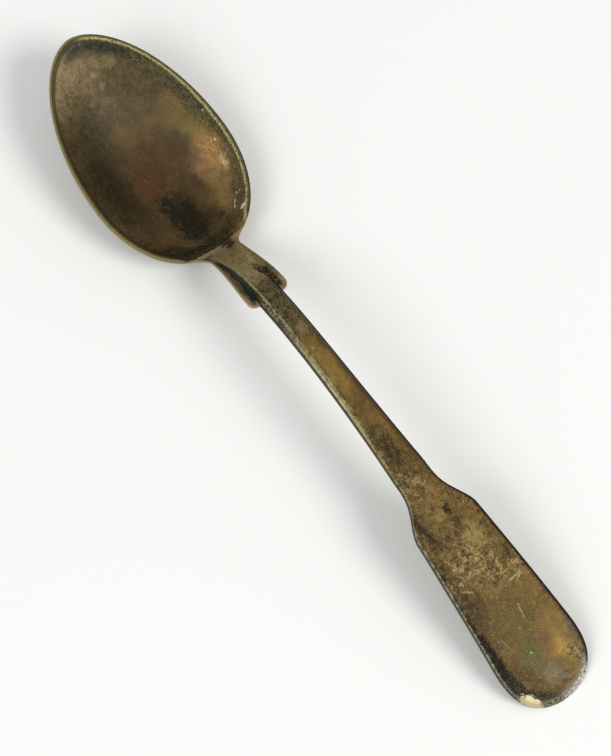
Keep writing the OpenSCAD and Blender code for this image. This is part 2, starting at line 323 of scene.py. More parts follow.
# The neck, the shoulders and the ears
neck_power = 2.4
flare_power = 3
flank_power = 1.2
drop_change_share = 0.5
ear_power = 2.2
# The stem and the blade
taper_power = 2.5
thinning_power = 1.3
fiddle_power = 1.75
end_power = 2.75
corner_angle = 45
bow_power = 8
back_power = 2
flat_back_power = 7
# The heel
heel_power = 1.6
heel_end_power = 3
heel_side_share = 0.25
heel_flare_share = 1.4
print("the bowl's outline has the powers", tip_power, "at its tip and", rear_power, "behind")

# %% [markdown]
# ## The side view
# Seen from the side, the rim sweeps down from the tip to the neck. The stem climbs away
# behind it, arches over its crest and falls until its end meets the table. A curve
# object could hold that line, but every piece would have to search it for its heights.
# One function of X gives the height of the front for all of them instead, so no seam
# can open between them.


# %% The side view
def rim_h(x):
    return blend(rim_neck_h, rim_tip_h, clamped(1 - x / bowl.length) ** sweep_power)


def climb_h(x):
    run = crest_x - bowl.length
    t = clamped((x - bowl.length) / run)
    arch = blend(rim_neck_h, crest_h, ease(t)) + climb_slope * run * t * (1 - t) ** 2
    return arch + climb_slope * calc("minimum", x - bowl.length, 0)


def fall_h(x):
    t = clamped((x - crest_x) / (spoon_l - crest_x))
    return blend(crest_h, end_front_h, blend(t**fall_power, t**droop_power, droop_share))


def front_h(x):
    """Height of the front of the spoon above the table, X mm behind the bowl's tip."""
    near = clamped(1 - calc("absolute", x - bowl.length) / (crest_x - bowl.length))
    rising = soft_max(rim_h(x), climb_h(x), neck_bend * near)
    return choose(calc("less", x, crest_x), rising, fall_h(x))


places = (0.0, bowl.rest, bowl.length, ear_x, crest_x, blade_x, spoon_l)
print("height of the front:", {x: round(float(front_h(x)), 2) for x in places})

# %% [markdown]
# ## The bowl's outline
# Seen from above, the bowl is an egg. It could be traced from the photograph, but a
# formula stays smooth and can be resized. An ellipse's sine is raised to a power, which
# makes the front half a little pointed and the rear half full. The rim's inner edge is
# the outline pulled in towards the place that the bowl rests on.


# %% The bowl's outline
def egg(angle, b):
    """A point of the outline, where angle 0 is the neck and pi is the tip."""
    c = calc("cos", angle)
    s = calc("sin", angle)
    is_tip = calc("less", c, 0)
    power = 2 / choose(is_tip, tip_power, rear_power)
    x = b.widest + choose(is_tip, b.widest, b.length - b.widest) * c
    return x, b.width / 2 * calc("sign", s) * calc("absolute", s) ** power


def neck_x(y):
    """X of the outline's rear half, y mm to the side."""
    share = (2 * calc("absolute", y) / bowl.width) ** rear_power
    return bowl.widest + (bowl.length - bowl.widest) * calc("sqrt", 1 - share)


wing_root_x = float(neck_x(shoulder_root_w / 2))
print("the shoulders leave the rim at", round(wing_root_x, 2), "mm")

# %% [markdown]
# ## The bowl, with Geometry Nodes
# A spoon's bowl is hammered or stamped from a flat blank, but its skin has the same
# order as a sphere: the upper half is pushed in and becomes the hollow, the equator
# becomes the rim and the lower half the back. It could be sculpted, or bent from a few
# faces with Subdivision Surface, but then the rim's width would be hard to hold. The
# tree below bends a UV sphere instead. Each vertex's place on it says how far round and
# how far over the rim it lies, and the formulas turn those two numbers into a place on
# the bowl. It stays closed at both poles, its faces keep pointing outwards, and each
# size is an input of the tree.

# %% The skin of the bowl as a formula
# Where each part of the skin ends, on the way from the hollow's middle to the rest:
# the hollow, its worn edge, the rim's top, its rounding, its outer edge and the back.
HOLLOW_END, CORNER_END, TOP_END = 0.42, 0.47, 0.51
ROUND_END, EDGE_END, BACK_END = 0.55, 0.57, 0.97
CORNER_W = 0.3  # mm on each side of the hollow's edge that get closer rings
CORNER_BEND = 0.1  # mm, how soft that edge has worn
RING_POWER = 0.9  # below 1, so that the rings lie closer towards the rim
SHARP_SHARE = 0.08  # of the rim's rounding is left where the shoulders meet it
SHARPENING_L = 0.8  # mm in front of that place in which the rounding shrinks


def back_lift(x, y, q, b):
    """Height of the bowl's back, q of the way from its rest to the outline at x, y."""
    reach = calc("sqrt", (x - b.rest) ** 2 + y**2)
    flat = (b.rest_r / reach) ** bowl_power
    return (front_h(x) - b.edge) * clamped((q**bowl_power - flat) / (1 - flat))


def bowl_skin(angle, s, b):
    """A point of the bowl, where s runs from 0 in the hollow's middle to 1 under it.

    After the point come its edges: mm past the hollow's edge, mm in from the outline,
    and 1 on the front or 0 on the back."""
    x, y = egg(angle, b)
    reach = calc("sqrt", (x - b.rest) ** 2 + y**2)
    aside = 2 * calc("absolute", y) / shoulder_root_w
    at_neck = choose(calc("less", x, b.widest), 0, 1 - ease(aside - neck_rim_share))
    rim = blend(b.rim_w, b.rim_neck_w, at_neck)
    sharpening = span(x, wing_root_x - SHARPENING_L, wing_root_x)
    rounding = b.rounding * blend(1, SHARP_SHARE, sharpening)
    inner = reach - rim
    quarter = span(s, TOP_END, ROUND_END) * (math.pi / 2)
    out = (
        (inner - CORNER_W) * span(s, 0, HOLLOW_END) ** RING_POWER
        + 2 * CORNER_W * span(s, HOLLOW_END, CORNER_END)
        + (rim - CORNER_W - rounding) * span(s, CORNER_END, TOP_END)
        + rounding * calc("sin", quarter)
    )
    back = blend(b.rest_r, reach, (1 - span(s, EDGE_END, BACK_END)) ** RING_POWER)
    front = calc("less", s, EDGE_END)
    past_edge = choose(front, out - inner, rim)
    out = choose(front, out, back * (1 - span(s, BACK_END, 1)))
    place = out / reach
    at_x = blend(b.rest, x, place)
    inner_h = front_h(blend(b.rest, x, inner / reach))
    hollow = blend(b.floor, inner_h, (out / inner) ** bowl_power)
    top = soft_min(hollow, front_h(at_x), CORNER_BEND) - rounding * (1 - calc("cos", quarter))
    edge = (b.edge - rounding) * span(s, ROUND_END, EDGE_END)
    height = choose(front, top - edge, back_lift(x, y, place, b))
    return (at_x, y * place, height), (past_edge, reach - out, front)


for s in (0.0, CORNER_END, EDGE_END, 1.0):
    (x, _, z), _ = bowl_skin(math.pi, s, bowl)
    print("towards the tip, s", s, "lies at x", round(float(x), 2), "z", round(float(z), 2))


# %% A tree that bends a sphere into the bowl
def new_tree(name, inputs):
    """A Geometry Nodes tree with these inputs, and the wires that leave them."""
    tree = bpy.data.node_groups.new(name, "GeometryNodeTree")
    tree.interface.new_socket("Geometry", in_out="INPUT", socket_type="NodeSocketGeometry")
    tree.interface.new_socket("Geometry", in_out="OUTPUT", socket_type="NodeSocketGeometry")
    kinds = {float: "NodeSocketFloat", int: "NodeSocketInt"}
    for label, value in inputs.items():
        kind = kinds.get(type(value), "NodeSocketMaterial")
        socket = tree.interface.new_socket(label, in_out="INPUT", socket_type=kind)
        if kind != "NodeSocketMaterial":
            socket.default_value = value
    start = tree.nodes.new("NodeGroupInput")
    return tree, {label: Wire(tree, start.outputs[label]) for label in inputs}


def finish_tree(tree, skin, material):
    """Realizes what the tree made, sets its material and sends it out."""
    solid = skin.node("GeometryNodeRealizeInstances", sockets={"Geometry": skin})
    dressed = skin.node(
        "GeometryNodeSetMaterial", sockets={"Geometry": solid, "Material": material}
    )
    skin.node("NodeGroupOutput", sockets={"Geometry": dressed})


def run_tree(name, tree, values):
    """What the tree makes with these values, as a plain mesh without a modifier."""
    holder = bpy.data.objects.new("holder", bpy.data.meshes.new("empty"))
    bpy.context.scene.collection.objects.link(holder)
    modifier = holder.modifiers.new("build", "NODES")
    modifier.node_group = tree
    for item in tree.interface.items_tree:
        if item.item_type == "SOCKET" and item.in_out == "INPUT" and item.name in values:
            modifier[item.identifier] = values[item.name]
    evaluated = holder.evaluated_get(bpy.context.evaluated_depsgraph_get())
    mesh = bpy.data.meshes.new_from_object(evaluated)
    mesh.name = name
    bpy.data.objects.remove(holder)
    return mesh


def bowl_tree(sizes):
    tree, wires = new_tree("bend_a_sphere_into_a_bowl", sizes)
    b = SimpleNamespace(**{label.lower().replace(" ", "_"): w for label, w in wires.items()})
    sphere = b.rings.node(
        "GeometryNodeMeshUVSphere", sockets={"Segments": b.segments, "Rings": b.rings, "Radius": 1}
    )
    place = sphere.node("GeometryNodeInputPosition")
    x = place.node("ShaderNodeSeparateXYZ", sockets={"Vector": place})
    y, z = x.other("Y"), x.other("Z")
    s = calc("arccos", z) / math.pi
    point, edges = bowl_skin(calc("arctan2", y, x), s, b)
    moved = (point[0] - spoon_l / 2) * MM, point[1] * MM, point[2] * MM
    marked = x.node(
        "GeometryNodeStoreNamedAttribute",
        {"data_type": "FLOAT_VECTOR", "domain": "POINT"},
        {"Geometry": sphere, "Name": "edges", "Value": x.vector(*edges)},
    )
    bent = x.node(
        "GeometryNodeSetPosition", sockets={"Geometry": marked, "Position": x.vector(*moved)}
    )
    finish_tree(tree, bent, b.finish)
    return tree


bowl_sizes = {
    "Length": bowl.length,
    "Width": bowl.width,
    "Widest": bowl.widest,
    "Rest": bowl.rest,
    "Rest r": bowl.rest_r,
    "Rim w": bowl.rim_w,
    "Rim neck w": bowl.rim_neck_w,
    "Edge": bowl.edge,
    "Rounding": bowl.rounding,
    "Floor": bowl.floor,
    "Segments": 320,
    "Rings": 200,
    "Finish": None,
}
bowl_nodes = bowl_tree(bowl_sizes)
print("the bowl's tree has", len(bowl_nodes.nodes), "nodes and", len(bowl_sizes), "inputs")

# %% [markdown]
# ## Plates between two sheets
# The rest of the spoon is flat work that was forged, filed and bent. An extruded outline
# with a Bevel would have the same thickness everywhere, but these pieces thin and swell.
# So each is a plate between a front sheet and a back sheet of points. A small function
# joins the two sheets with four narrow walls, which gives a closed mesh whose faces
# point outwards.


# %% Plates
def grid_faces(rows, cols, first, turned):
    """The four-sided faces of a sheet, as rows of vertex numbers."""
    a = first + (np.arange(rows - 1)[:, None] * cols + np.arange(cols - 1)).ravel()
    faces = np.column_stack([a, a + cols, a + cols + 1, a + 1])
    return faces[:, ::-1] if turned else faces


def border(rows, cols):
    """Vertex numbers once round the sheet, in the order of its front faces."""
    start = np.arange(cols)[::-1]
    left = np.arange(rows) * cols
    end = (rows - 1) * cols + np.arange(cols)
    right = (np.arange(rows) * cols + cols - 1)[::-1]
    return np.concatenate([start[:-1], left[:-1], end[:-1], right[:-1]])


def plate(name, x, y, top, under, past_edge, inside):
    """A closed mesh between two sheets, each an array of rows and columns in mm.

    past_edge and inside become the same marks that the bowl's tree stores."""
    rows, cols = x.shape
    points = [np.stack([x - spoon_l / 2, y, z], -1).reshape(-1, 3) for z in (top, under)]
    edge = border(rows, cols)
    following = np.roll(edge, -1)
    wall = np.column_stack([following, edge, edge + rows * cols, following + rows * cols])
    faces = np.concatenate(
        [grid_faces(rows, cols, 0, False), grid_faces(rows, cols, rows * cols, True), wall]
    )
    mesh = bpy.data.meshes.new(name)
    mesh.from_pydata((np.concatenate(points) * MM).tolist(), [], faces.tolist())
    mesh.update()
    marks = [np.stack([past_edge, inside, 0 * x + front], -1).reshape(-1, 3) for front in (1, 0)]
    edges = mesh.attributes.new("edges", "FLOAT_VECTOR", "POINT")
    edges.data.foreach_set("vector", np.concatenate(marks).ravel())
    return mesh


def steps(start, end, count, power=1.0):
    """count + 1 numbers from start to end, crowded towards the end where power > 1."""
    return end - (end - start) * (1 - np.linspace(0, 1, count + 1)) ** power


def measured(mesh):
    """The same mesh, after its size in mm has been printed."""
    points = np.array([v.co for v in mesh.vertices]) / MM
    print(mesh.name, len(mesh.polygons), "faces", points.min(0).round(2), points.max(0).round(2))
    return mesh


# %% [markdown]
# ## Sections of the stem and the blade
# Filed metal has no knife edges left after years of polishing, so the crease where the
# front face meets its bevelled flank is a soft bend. A Bevel modifier could round it,
# but with one width all along, while this crease narrows towards the blade. So the bend
# is part of the section, and columns of points crowd there.

# %% Sections
FACE_SHARES = [0, 0.2, 0.4, 0.6, 0.75, 0.86, 0.94, 1]
FLANK_SHARES = [0.06, 0.12, 0.2, 0.32, 0.46, 0.62, 0.76, 0.87, 0.94, 0.98, 1]
CREASE_BEND = 0.13  # of the flank's width


def across(face, side):
    """Columns from one side to the other, for rows with these half widths in mm."""
    face, side = np.atleast_1d(face)[:, None], np.atleast_1d(side)[:, None]
    half = np.hstack([face * FACE_SHARES, blend(face, side, np.array(FLANK_SHARES))])
    return np.hstack([-half[:, :0:-1], half])


def section_front(y, face, side, flank):
    """How far the front lies below its own middle line, with a soft crease."""
    crown = face_crown * flank / flank_h * np.minimum(abs(y) / face, 1) ** 2
    bevel = soft_max((abs(y) - face) / (side - face), 0, CREASE_BEND)
    return blend(crown, flank, np.minimum(bevel, 1))


def section_back(y, side, foot, thick, power):
    """The same for the back: thick in the middle and foot deep at its sides."""
    lift = 1 - clamped(1 - clamped(abs(y) / side) ** power) ** (1 / power)
    return blend(thick, foot, lift)


def round_over(distance, radius):
    """How far a rounded edge has dropped at that distance from the outline."""
    left = radius - np.minimum(distance, radius)
    return radius - np.sqrt(radius**2 - left**2)


print("a section has", across(face_w / 2, stem_w / 2).shape[1], "columns of points")

# %% [markdown]
# ## The stem
# A section swept along a curve would cut straight across the neck. So the stem's first
# rows follow the bowl's curved outline, where its face spreads like a Y into the rim,
# and straighten out by the ears. Behind them it is a plain bevelled bar that thins and
# widens towards the blade.


# %% The stem
def column(values):
    return np.asarray(values, float)[:, None]


def beside_shoulders(t):
    """Half widths and depths of the stem, where t is 0 at the bowl and 1 at the ears."""
    side = blend(stem_w, stem_root_w, (1 - t) ** flare_power) / 2
    face = blend(face_w, face_root_w, (1 - t) ** flare_power) / 2
    flank = flank_h * t**flank_power
    drop = blend(bowl.edge + heel_step, side_h, ease(t / drop_change_share))
    return side, face, flank, drop


def on_handle(x, at_ears, at_stem_end, at_fiddle, at_end):
    """A size that changes along the handle, given at its four marked places."""
    stem = blend(at_ears, at_stem_end, span(x, ear_x, blade_x) ** thinning_power)
    swell = blend(at_stem_end, at_fiddle, ease(span(x, blade_x, fiddle_x)))
    rest = blend(at_fiddle, at_end, span(x, fiddle_x, spoon_l))
    return np.where(x < blade_x, stem, np.where(x < fiddle_x, swell, rest))


def handle_side(x):
    stem = blend(stem_w, stem_end_w, span(x, ear_x, blade_x) ** taper_power) / 2
    edge = blend(fiddle_w, blade_w, span(x, fiddle_x, round_x))
    blade = blend(stem_end_w, edge, ease(span(x, blade_x, fiddle_x)) ** fiddle_power) / 2
    return np.where(x < blade_x, stem, blade)


def handle_sizes(x):
    """Half widths, flank, foot and thickness of the handle behind the ears."""
    side = handle_side(x)
    face = side - on_handle(x, (stem_w - face_w) / 2, bevel_w, bevel_w, bevel_w)
    flank = on_handle(x, flank_h, flank_end_h, bevel_h, bevel_h)
    foot = flank + on_handle(x, side_h, side_end_h, blade_edge_h, blade_edge_h)
    thick = on_handle(x, stem_t, stem_end_t, blade_t, blade_end_t)
    return side, face, flank, foot, thick


marked_places = np.array([ear_x, crest_x, blade_x, fiddle_x, round_x])
print("the handle's width at", marked_places, "is", 2 * handle_side(marked_places).round(2))

# %% The stem's two stretches
NECK_ROWS, STEM_ROWS = 64, 150


def stretch(x, y, face, side, flank, foot, thick):
    """The sheets of a stretch of the stem, whose rows have these half sizes and depths."""
    face, side = column(face), column(side)
    top = front_h(x) - section_front(y, face, side, column(flank))
    under = front_h(x) - section_back(y, side, column(foot), column(thick), back_power)
    return x, y, top, under, abs(y) - face, side - abs(y)


def stem_mesh():
    t = steps(0, 1, NECK_ROWS, power=1.2)
    side, face, flank, drop = beside_shoulders(t)
    root_y = across(face[:1], side[:1])
    x = blend(neck_x(root_y), ear_x, column(t))
    thick = blend(root_t, stem_t, t)
    neck = stretch(x, across(face, side), face, side, flank, flank + drop, thick)
    along = steps(ear_x, blade_x, STEM_ROWS)[1:]
    side, face, flank, foot, thick = handle_sizes(along)
    y = across(face, side)
    bar = stretch(np.broadcast_to(column(along), y.shape), y, face, side, flank, foot, thick)
    return plate("stem_metal", *[np.vstack(pair) for pair in zip(neck, bar)])


stem_metal = measured(stem_mesh())

# %% [markdown]
# ## The blade
# The handle's end is the fiddle: two soft shoulders, sides that spread a little and a
# rounded end. Its bevel and its worn edge run all the way round, so they are measured
# from the outline. Straight rows would meet the round end in a ragged line. These rows
# bend until the final one is the end itself.

# %% The blade
BLADE_ROWS, ROUND_ROWS, CORNER_ROWS = 110, 26, 16
CLOSE_ANGLE = 50  # degrees round the end, from where the rows lie closer
EDGE_BEND = 0.3  # of the bevel's width, how soft its crease has worn
EDGE_ROUND = 0.12  # mm, the outline's worn edge
THINNEST = 0.05  # mm that the outline's edge is never thinner than


def outline_distance(x, y):
    """About how far a point lies inside the blade's outline, in mm."""
    beyond = np.maximum(x - round_x, 0) / blade_round_l
    side = handle_side(x)
    inside = 1 - beyond**end_power - (y / side) ** 2
    slope = np.hypot(end_power * beyond ** (end_power - 1) / blade_round_l, 2 * y / side**2)
    return np.clip(inside / np.maximum(slope, 1e-6), 0, side)


def end_bulge(angle):
    """How far the rounded end reaches at that angle from the middle line, in mm."""
    return blade_round_l * np.cos(angle) ** (2 / end_power)


def blade_mesh():
    round_angle = steps(90, CLOSE_ANGLE, ROUND_ROWS)[1:]
    corner = steps(CLOSE_ANGLE, corner_angle, CORNER_ROWS, power=1.8)[1:]
    angle = np.radians(np.concatenate([round_angle, corner]))
    straight = steps(blade_x, round_x, BLADE_ROWS)
    at = np.concatenate([straight, round_x + end_bulge(angle)])
    side = np.concatenate([handle_side(straight), blade_w / 2 * np.sin(angle)])
    y = across(side - bevel_w, side)
    turn = np.arcsin(np.clip(y / column(side) * math.sin(math.radians(corner_angle)), -1, 1))
    bow = ((at - blade_x) / (at[-1] - blade_x)) ** bow_power
    x = column(at) + column(bow) * (round_x + end_bulge(turn) - at[-1])
    side, _, flank, foot, thick = handle_sizes(x)
    inside = outline_distance(x, y)
    crown = face_crown * flank / flank_h * np.minimum(abs(y) / (side - bevel_w), 1) ** 2
    bevel = np.minimum(soft_max(1 - inside / bevel_w, 0, EDGE_BEND), 1)
    top = front_h(x) - blend(crown, flank, bevel) - round_over(inside, EDGE_ROUND)
    flattening = blend(back_power, flat_back_power, ease(span(x, blade_x, fiddle_x)))
    power = np.where(x < fiddle_x, flattening, flat_back_power)
    under = np.maximum(front_h(x) - section_back(side - inside, side, foot, thick, power), 0)
    top = np.maximum(top, under + THINNEST)
    return plate("blade_metal", x, y, top, under, bevel_w - inside, inside)


blade_metal = measured(blade_mesh())

# %% [markdown]
# ## The shoulders and the heel
# On each side of the neck a small wing runs back from the rim and ends in a rounded
# ear. Its face is hollow along the stem and rises to a lip at its outer edge. Under the
# bowl the stem runs on as the heel, a tongue that thins to a low step. Booleans could
# cut them against the stem and the bowl, but tend to leave slivers along a seam. The
# pieces share the formulas of their neighbours' sides instead, so they meet exactly.

# %% The shoulders
WING_ROWS, WING_COLUMNS = 90, 26
EAR_END_SHARE = 0.2  # of the ear's width is left at its very end
SIDE_ROUND = 0.2  # mm, how far the shoulder's side edges are rounded
ROOT_SHARE = 0.2  # of the shoulder's length, in which that rounding grows
ROOT_ROUND = 0.001  # mm, the rounding at the root, where it begins


def wing_edge(x):
    hollow = clamped(1 - (x - wing_root_x) / neck_fillet_l) ** neck_power
    ear = ease(span(x, wing_root_x + neck_fillet_l, ear_x - ear_round_l))
    return blend(neck_w, shoulder_root_w, hollow) / 2 + (ear_w - neck_w) / 2 * ear


def ear_closing(x):
    u = span(x, ear_x - ear_round_l, ear_x)
    return blend(EAR_END_SHARE, 1, (1 - u**ear_power) ** (1 / ear_power))


def shoulder_mesh(name, hand):
    """One shoulder, on the left where hand is -1 and on the right where it is 1."""
    t = column(steps(0, 1, WING_ROWS, power=1.5))
    v = steps(0, 1, WING_COLUMNS, power=1.7)[None, :]
    root_y = blend(stem_root_w, shoulder_root_w, v) / 2
    x = blend(neck_x(root_y), ear_x, t)
    edge_x = blend(wing_root_x, ear_x, t)
    inner, _, flank, drop = beside_shoulders(t)
    outer = blend(inner, wing_edge(edge_x), ear_closing(edge_x))
    y = blend(inner, outer, v)
    ledge = front_h(x) - flank
    lip = shoulder_lip * flank / flank_h * v**2
    foot = blend(drop, min(bowl.edge, side_h), v)
    rounding = ROOT_ROUND + SIDE_ROUND * ease(t / ROOT_SHARE)
    softened = round_over((1 - v) * (outer - inner), rounding)
    top = ledge + lip - softened
    under = ledge - foot + softened
    near_outline = np.minimum(outer - y, ear_x - x)
    sheets = (x, hand * y, top, under, y - inner, near_outline)
    sheets = [np.broadcast_to(s, y.shape) for s in sheets]
    if hand < 0:
        sheets = [s[:, ::-1] for s in sheets]
    return plate(name, *sheets)


shoulder_metals = {
    side: measured(shoulder_mesh(side + "_shoulder_metal", hand))
    for side, hand in (("left", -1), ("right", 1))
}

# %% The heel
HEEL_ROWS = 40
STEP_SHARE = 0.06  # of the heel's length, in which its end rises from the bowl's back


def heel_mesh():
    s = column(steps(0, 1, HEEL_ROWS))
    y = across([face_root_w / 2], [stem_root_w / 2])
    v = 2 * abs(y) / stem_root_w
    bulge = clamped(1 - v**heel_end_power) ** (1 / heel_end_power)
    start = 1 - heel_l / (bowl.length - bowl.rest) * blend(heel_side_share, 1, bulge)
    rim_y = y * blend(heel_flare_share, 1, s)
    rim_x = neck_x(rim_y)
    q = blend(start, 1, s)
    top = back_lift(rim_x, rim_y, q, bowl)
    foot = bowl.edge + heel_step
    root = section_back(y, stem_root_w / 2, foot, root_t, back_power) - bowl.edge
    step = heel_step * (1 - (1 - clamped(s / STEP_SHARE)) ** 2)
    depth = blend(step, root, s**heel_power)
    x = blend(bowl.rest, rim_x, q)
    inside = stem_root_w / 2 - abs(y) + 0 * x
    return plate("heel_metal", x, rim_y * q, top, np.maximum(top - depth, 0), 0 * x, inside)


heel_metal = measured(heel_mesh())

# %% [markdown]
# ## Colours of old plate
# Silver plate tarnishes through yellow, brown, purple and blue-black as its sulphide
# film grows, and the yellowish base metal shows where the silver has worn away. These
# are shades that the eye meets on this spoon. They could be picked in linear numbers,
# but it is easier to judge them as they look on a screen, and one small function turns
# them into the metal's own colour. The gain allows for the light that the metal adds.

# %% Colours
METAL_GAIN = (0.72, 0.71, 0.6)
# BRIGHT_GAIN is for silver rubbed bare, brightened further as a painted highlight.
BRIGHT_GAIN = (0.8, 0.8, 0.8)  # for silver that has been rubbed bare
# FULL_GAIN is for painted glints: painted highlights as bright as they look.
FULL_GAIN = (1, 1, 1)  # for glints, which are as bright as they look


def tone(red, green, blue, gain=METAL_GAIN):
    """The linear colour of metal that looks like this shade, given from 0 to 255."""
    shares = [c / 255 for c in (red, green, blue)]
    linear = [s / 12.92 if s <= 0.04045 else ((s + 0.055) / 1.055) ** 2.4 for s in shares]
    return (*(min(g * c, 1) for g, c in zip(gain, linear)), 1)


GREY_TAN = tone(122, 107, 86)
PALE_TAN = tone(150, 137, 106)
CRUST = tone(184, 158, 114)
NEAR_BLACK = tone(24, 21, 15)
BLUE_GREEN_BLACK = tone(44, 54, 50)
CREAM = tone(220, 201, 158)
EMBER = tone(235, 105, 75)
# Painted highlights: glints of light painted into the colour.
PAINTED_GLINT = tone(250, 248, 236, FULL_GAIN)
PAINTED_WARM_GLINT = tone(250, 226, 180, FULL_GAIN)
SOOT = tone(16, 13, 7)
DUST = tone(190, 174, 124)
print("crust as linear metal:", [round(c, 3) for c in CRUST])

# %% [markdown]
# ## Places and noise
# A finish could be painted on an image, but an image has one sharpness, and its seams
# show. Here each mark is a sum on the piece's own coordinates in millimetres, so it sits
# on the metal and stays sharp at any size. A little noise shakes those coordinates, so
# that no stain has a clean edge.

# %% Places and noise
finishes = {}
METALLIC = 0.75  # tarnish hides a quarter of the metal's own shine


def new_material(slot_name):
    """The material of that slot, and a wire that can add nodes to it."""
    material = bpy.data.materials.new(slot_name)
    material.use_nodes = True
    finishes[slot_name] = material
    return material, Wire(material.node_tree)


def finish_metal(material, colour, height, roughness):
    """Joins the finish to the material's shader. The height of its relief is in mm."""
    tree = material.node_tree
    shader = tree.nodes["Principled BSDF"]
    bump = height.node("ShaderNodeBump", sockets={"Height": height, "Distance": MM})
    wires = {"Base Color": colour, "Roughness": roughness, "Normal": bump}
    for name, wire in wires.items():
        tree.links.new(wire.socket, shader.inputs[name])
    shader.inputs["Metallic"].default_value = METALLIC
    print(material.name, "has", len(tree.nodes), "nodes")


def spoon_place(start):
    """Where a point of the metal lies, in mm from the bowl's tip."""
    own = start.node("ShaderNodeTexCoord", output="Object")
    return own.node(
        "ShaderNodeVectorMath",
        {"operation": "MULTIPLY_ADD"},
        {0: own, 1: (1 / MM,) * 3, 2: (spoon_l / 2, 0, 0)},
    )


def noise(place, size, detail=3.0, rough=0.55):
    """A cloud from 0 to 1 whose lumps are about size mm wide."""
    return place.node(
        "ShaderNodeTexNoise",
        sockets={"Vector": place, "Scale": 1 / size, "Detail": detail, "Roughness": rough},
    )


def shaken(place, size, amount):
    """The same place, moved by up to about amount mm in lumps of that size."""
    cloud = noise(place, size).other("Color")
    push = cloud.node("ShaderNodeVectorMath", {"operation": "SUBTRACT"}, {0: cloud, 1: (0.5,) * 3})
    return push.node(
        "ShaderNodeVectorMath",
        {"operation": "MULTIPLY_ADD"},
        {0: push, 1: (4 * amount,) * 3, 2: place},
    )


STREAK_DEPTH = 4  # mm, so that a streak hardly changes with the height


def streaks(place, turn, length, width):
    """A noise drawn out into strokes of about that length and width, in mm."""
    moved = place.node(
        "ShaderNodeMapping",
        {"vector_type": "TEXTURE"},
        {
            "Vector": place,
            "Rotation": (0, 0, math.radians(turn)),
            "Scale": (length, width, STREAK_DEPTH),
        },
    )
    return noise(moved, 1, 4, 0.65)


# %% [markdown]
# ## Stains, specks and scratches
# Most of the finish is made of a few shapes that are used again and again. A stain is a
# soft oval, a scratch is the same oval made very thin, and specks are the middles of
# random cells. Each is a mask: 1 where the mark is and 0 elsewhere, soft in between.


# %% Shapes of wear
def fade(value, low, high):
    """0 at low and 1 at high, with soft ends. low may be the larger one."""
    return value.node(
        "ShaderNodeMapRange",
        {"interpolation_type": "SMOOTHSTEP"},
        {"Value": value, "From Min": low, "From Max": high},
    )


THROUGH = 1000  # mm, so that an oval seen from above goes through front and back


def from_middle(place, middle, size, turn=0.0):
    """Distance from a place, where the oval of these half lengths has distance 1."""
    moved = place.node(
        "ShaderNodeMapping",
        {"vector_type": "TEXTURE"},
        {
            "Vector": place,
            "Location": (*middle, 0),
            "Rotation": (0, 0, math.radians(turn)),
            "Scale": (*size, THROUGH),
        },
    )
    return moved.node("ShaderNodeVectorMath", {"operation": "LENGTH"}, {0: moved}, output="Value")


def oval(place, middle, size, turn=0.0, soft=0.8):
    """1 inside an oval, fading out over the soft share of its half lengths."""
    return fade(from_middle(place, middle, size, turn), 1, 1 - soft)


def scratch(place, start, end, width):
    """1 along a thin stroke from start to end."""
    run, rise = end[0] - start[0], end[1] - start[1]
    middle = (start[0] + end[0]) / 2, (start[1] + end[1]) / 2
    size = math.hypot(run, rise) / 2, width / 2
    return oval(place, middle, size, math.degrees(math.atan2(rise, run)), 0.7)


def specks(place, spacing, size, share):
    """Small round specks, size mm across, in that share of the cells."""
    cells = place.node("ShaderNodeTexVoronoi", sockets={"Vector": place, "Scale": 1 / spacing})
    colour = cells.other("Color")
    draw = colour.node("ShaderNodeSeparateColor", sockets={"Color": colour})
    near = fade(cells, size / spacing / 2, size / spacing / 5)
    return near * calc("less", draw, share)


def bell(value, middle, reach):
    """1 where the value is at middle, and 0 from reach away on."""
    return fade(calc("absolute", value - middle), reach, 0)


# %% [markdown]
# ## Layers of colour
# Tarnish, dirt and rubbed metal lie over one another. Several shaders could be mixed for
# them, but these layers differ in little else than colour. So one shader is enough, and
# one colour is laid over the other through the mask of its marks. The last is on top.


# %% Layers of colour
def mixed(mask, under, over):
    """The colour under, covered by the colour over where the mask is 1."""
    sockets = {0: mask, 6: under, 7: over}
    return mask.node("ShaderNodeMix", {"data_type": "RGBA"}, sockets, output=2)


def shaded(colour, strength):
    """A colour made darker or lighter by a number."""
    sockets = {0: colour if isinstance(colour, Wire) else colour[:3], "Scale": strength}
    return strength.node("ShaderNodeVectorMath", {"operation": "SCALE"}, sockets)


def speckled(look, grain, amount):
    """The look with dark pits and pale dust, which come and go with the grain."""
    look = mixed(fade(grain, 0.5, 0.12) * amount, look, SOOT)
    return mixed(fade(grain, 0.5, 0.9) * amount * 0.42, look, DUST)


def stained(look, place, stains, low=-1.0, high=1000.0):
    """The look with the stains on top whose middles lie between low and high mm."""
    for colour, strength, middle, size, turn, soft in stains:
        if low - size[0] < middle[0] < high + size[0]:
            look = mixed(oval(place, middle, size, turn, soft) * strength, look, colour)
    return look


def scratched(look, on, scratches):
    """The look with thin strokes on top, broken here and there by the grit."""
    broken = fade(on.grit, 0.0, 0.35)
    for colour, strength, begin, end, width in scratches:
        look = mixed(scratch(on.close, begin, end, width) * broken * strength, look, colour)
    return look


# %% [markdown]
# ## What each finish reads
# Each finish starts from the same places: the point itself, two shaken copies of it, and
# the marks that the meshes carry. The marks say how far a point is past the nearest
# crease or rim, how far it is from the outline, and whether it is on the front. The
# Pointiness of Geometry could find the edges, but it changes with the fineness of the
# mesh. X and Y are in mm, with X from the bowl's tip, so fade(on.x, 62, 74) starts 62 mm
# behind the tip and is full at 74 mm, and fade(on.x, 74, 62) is the other way round.


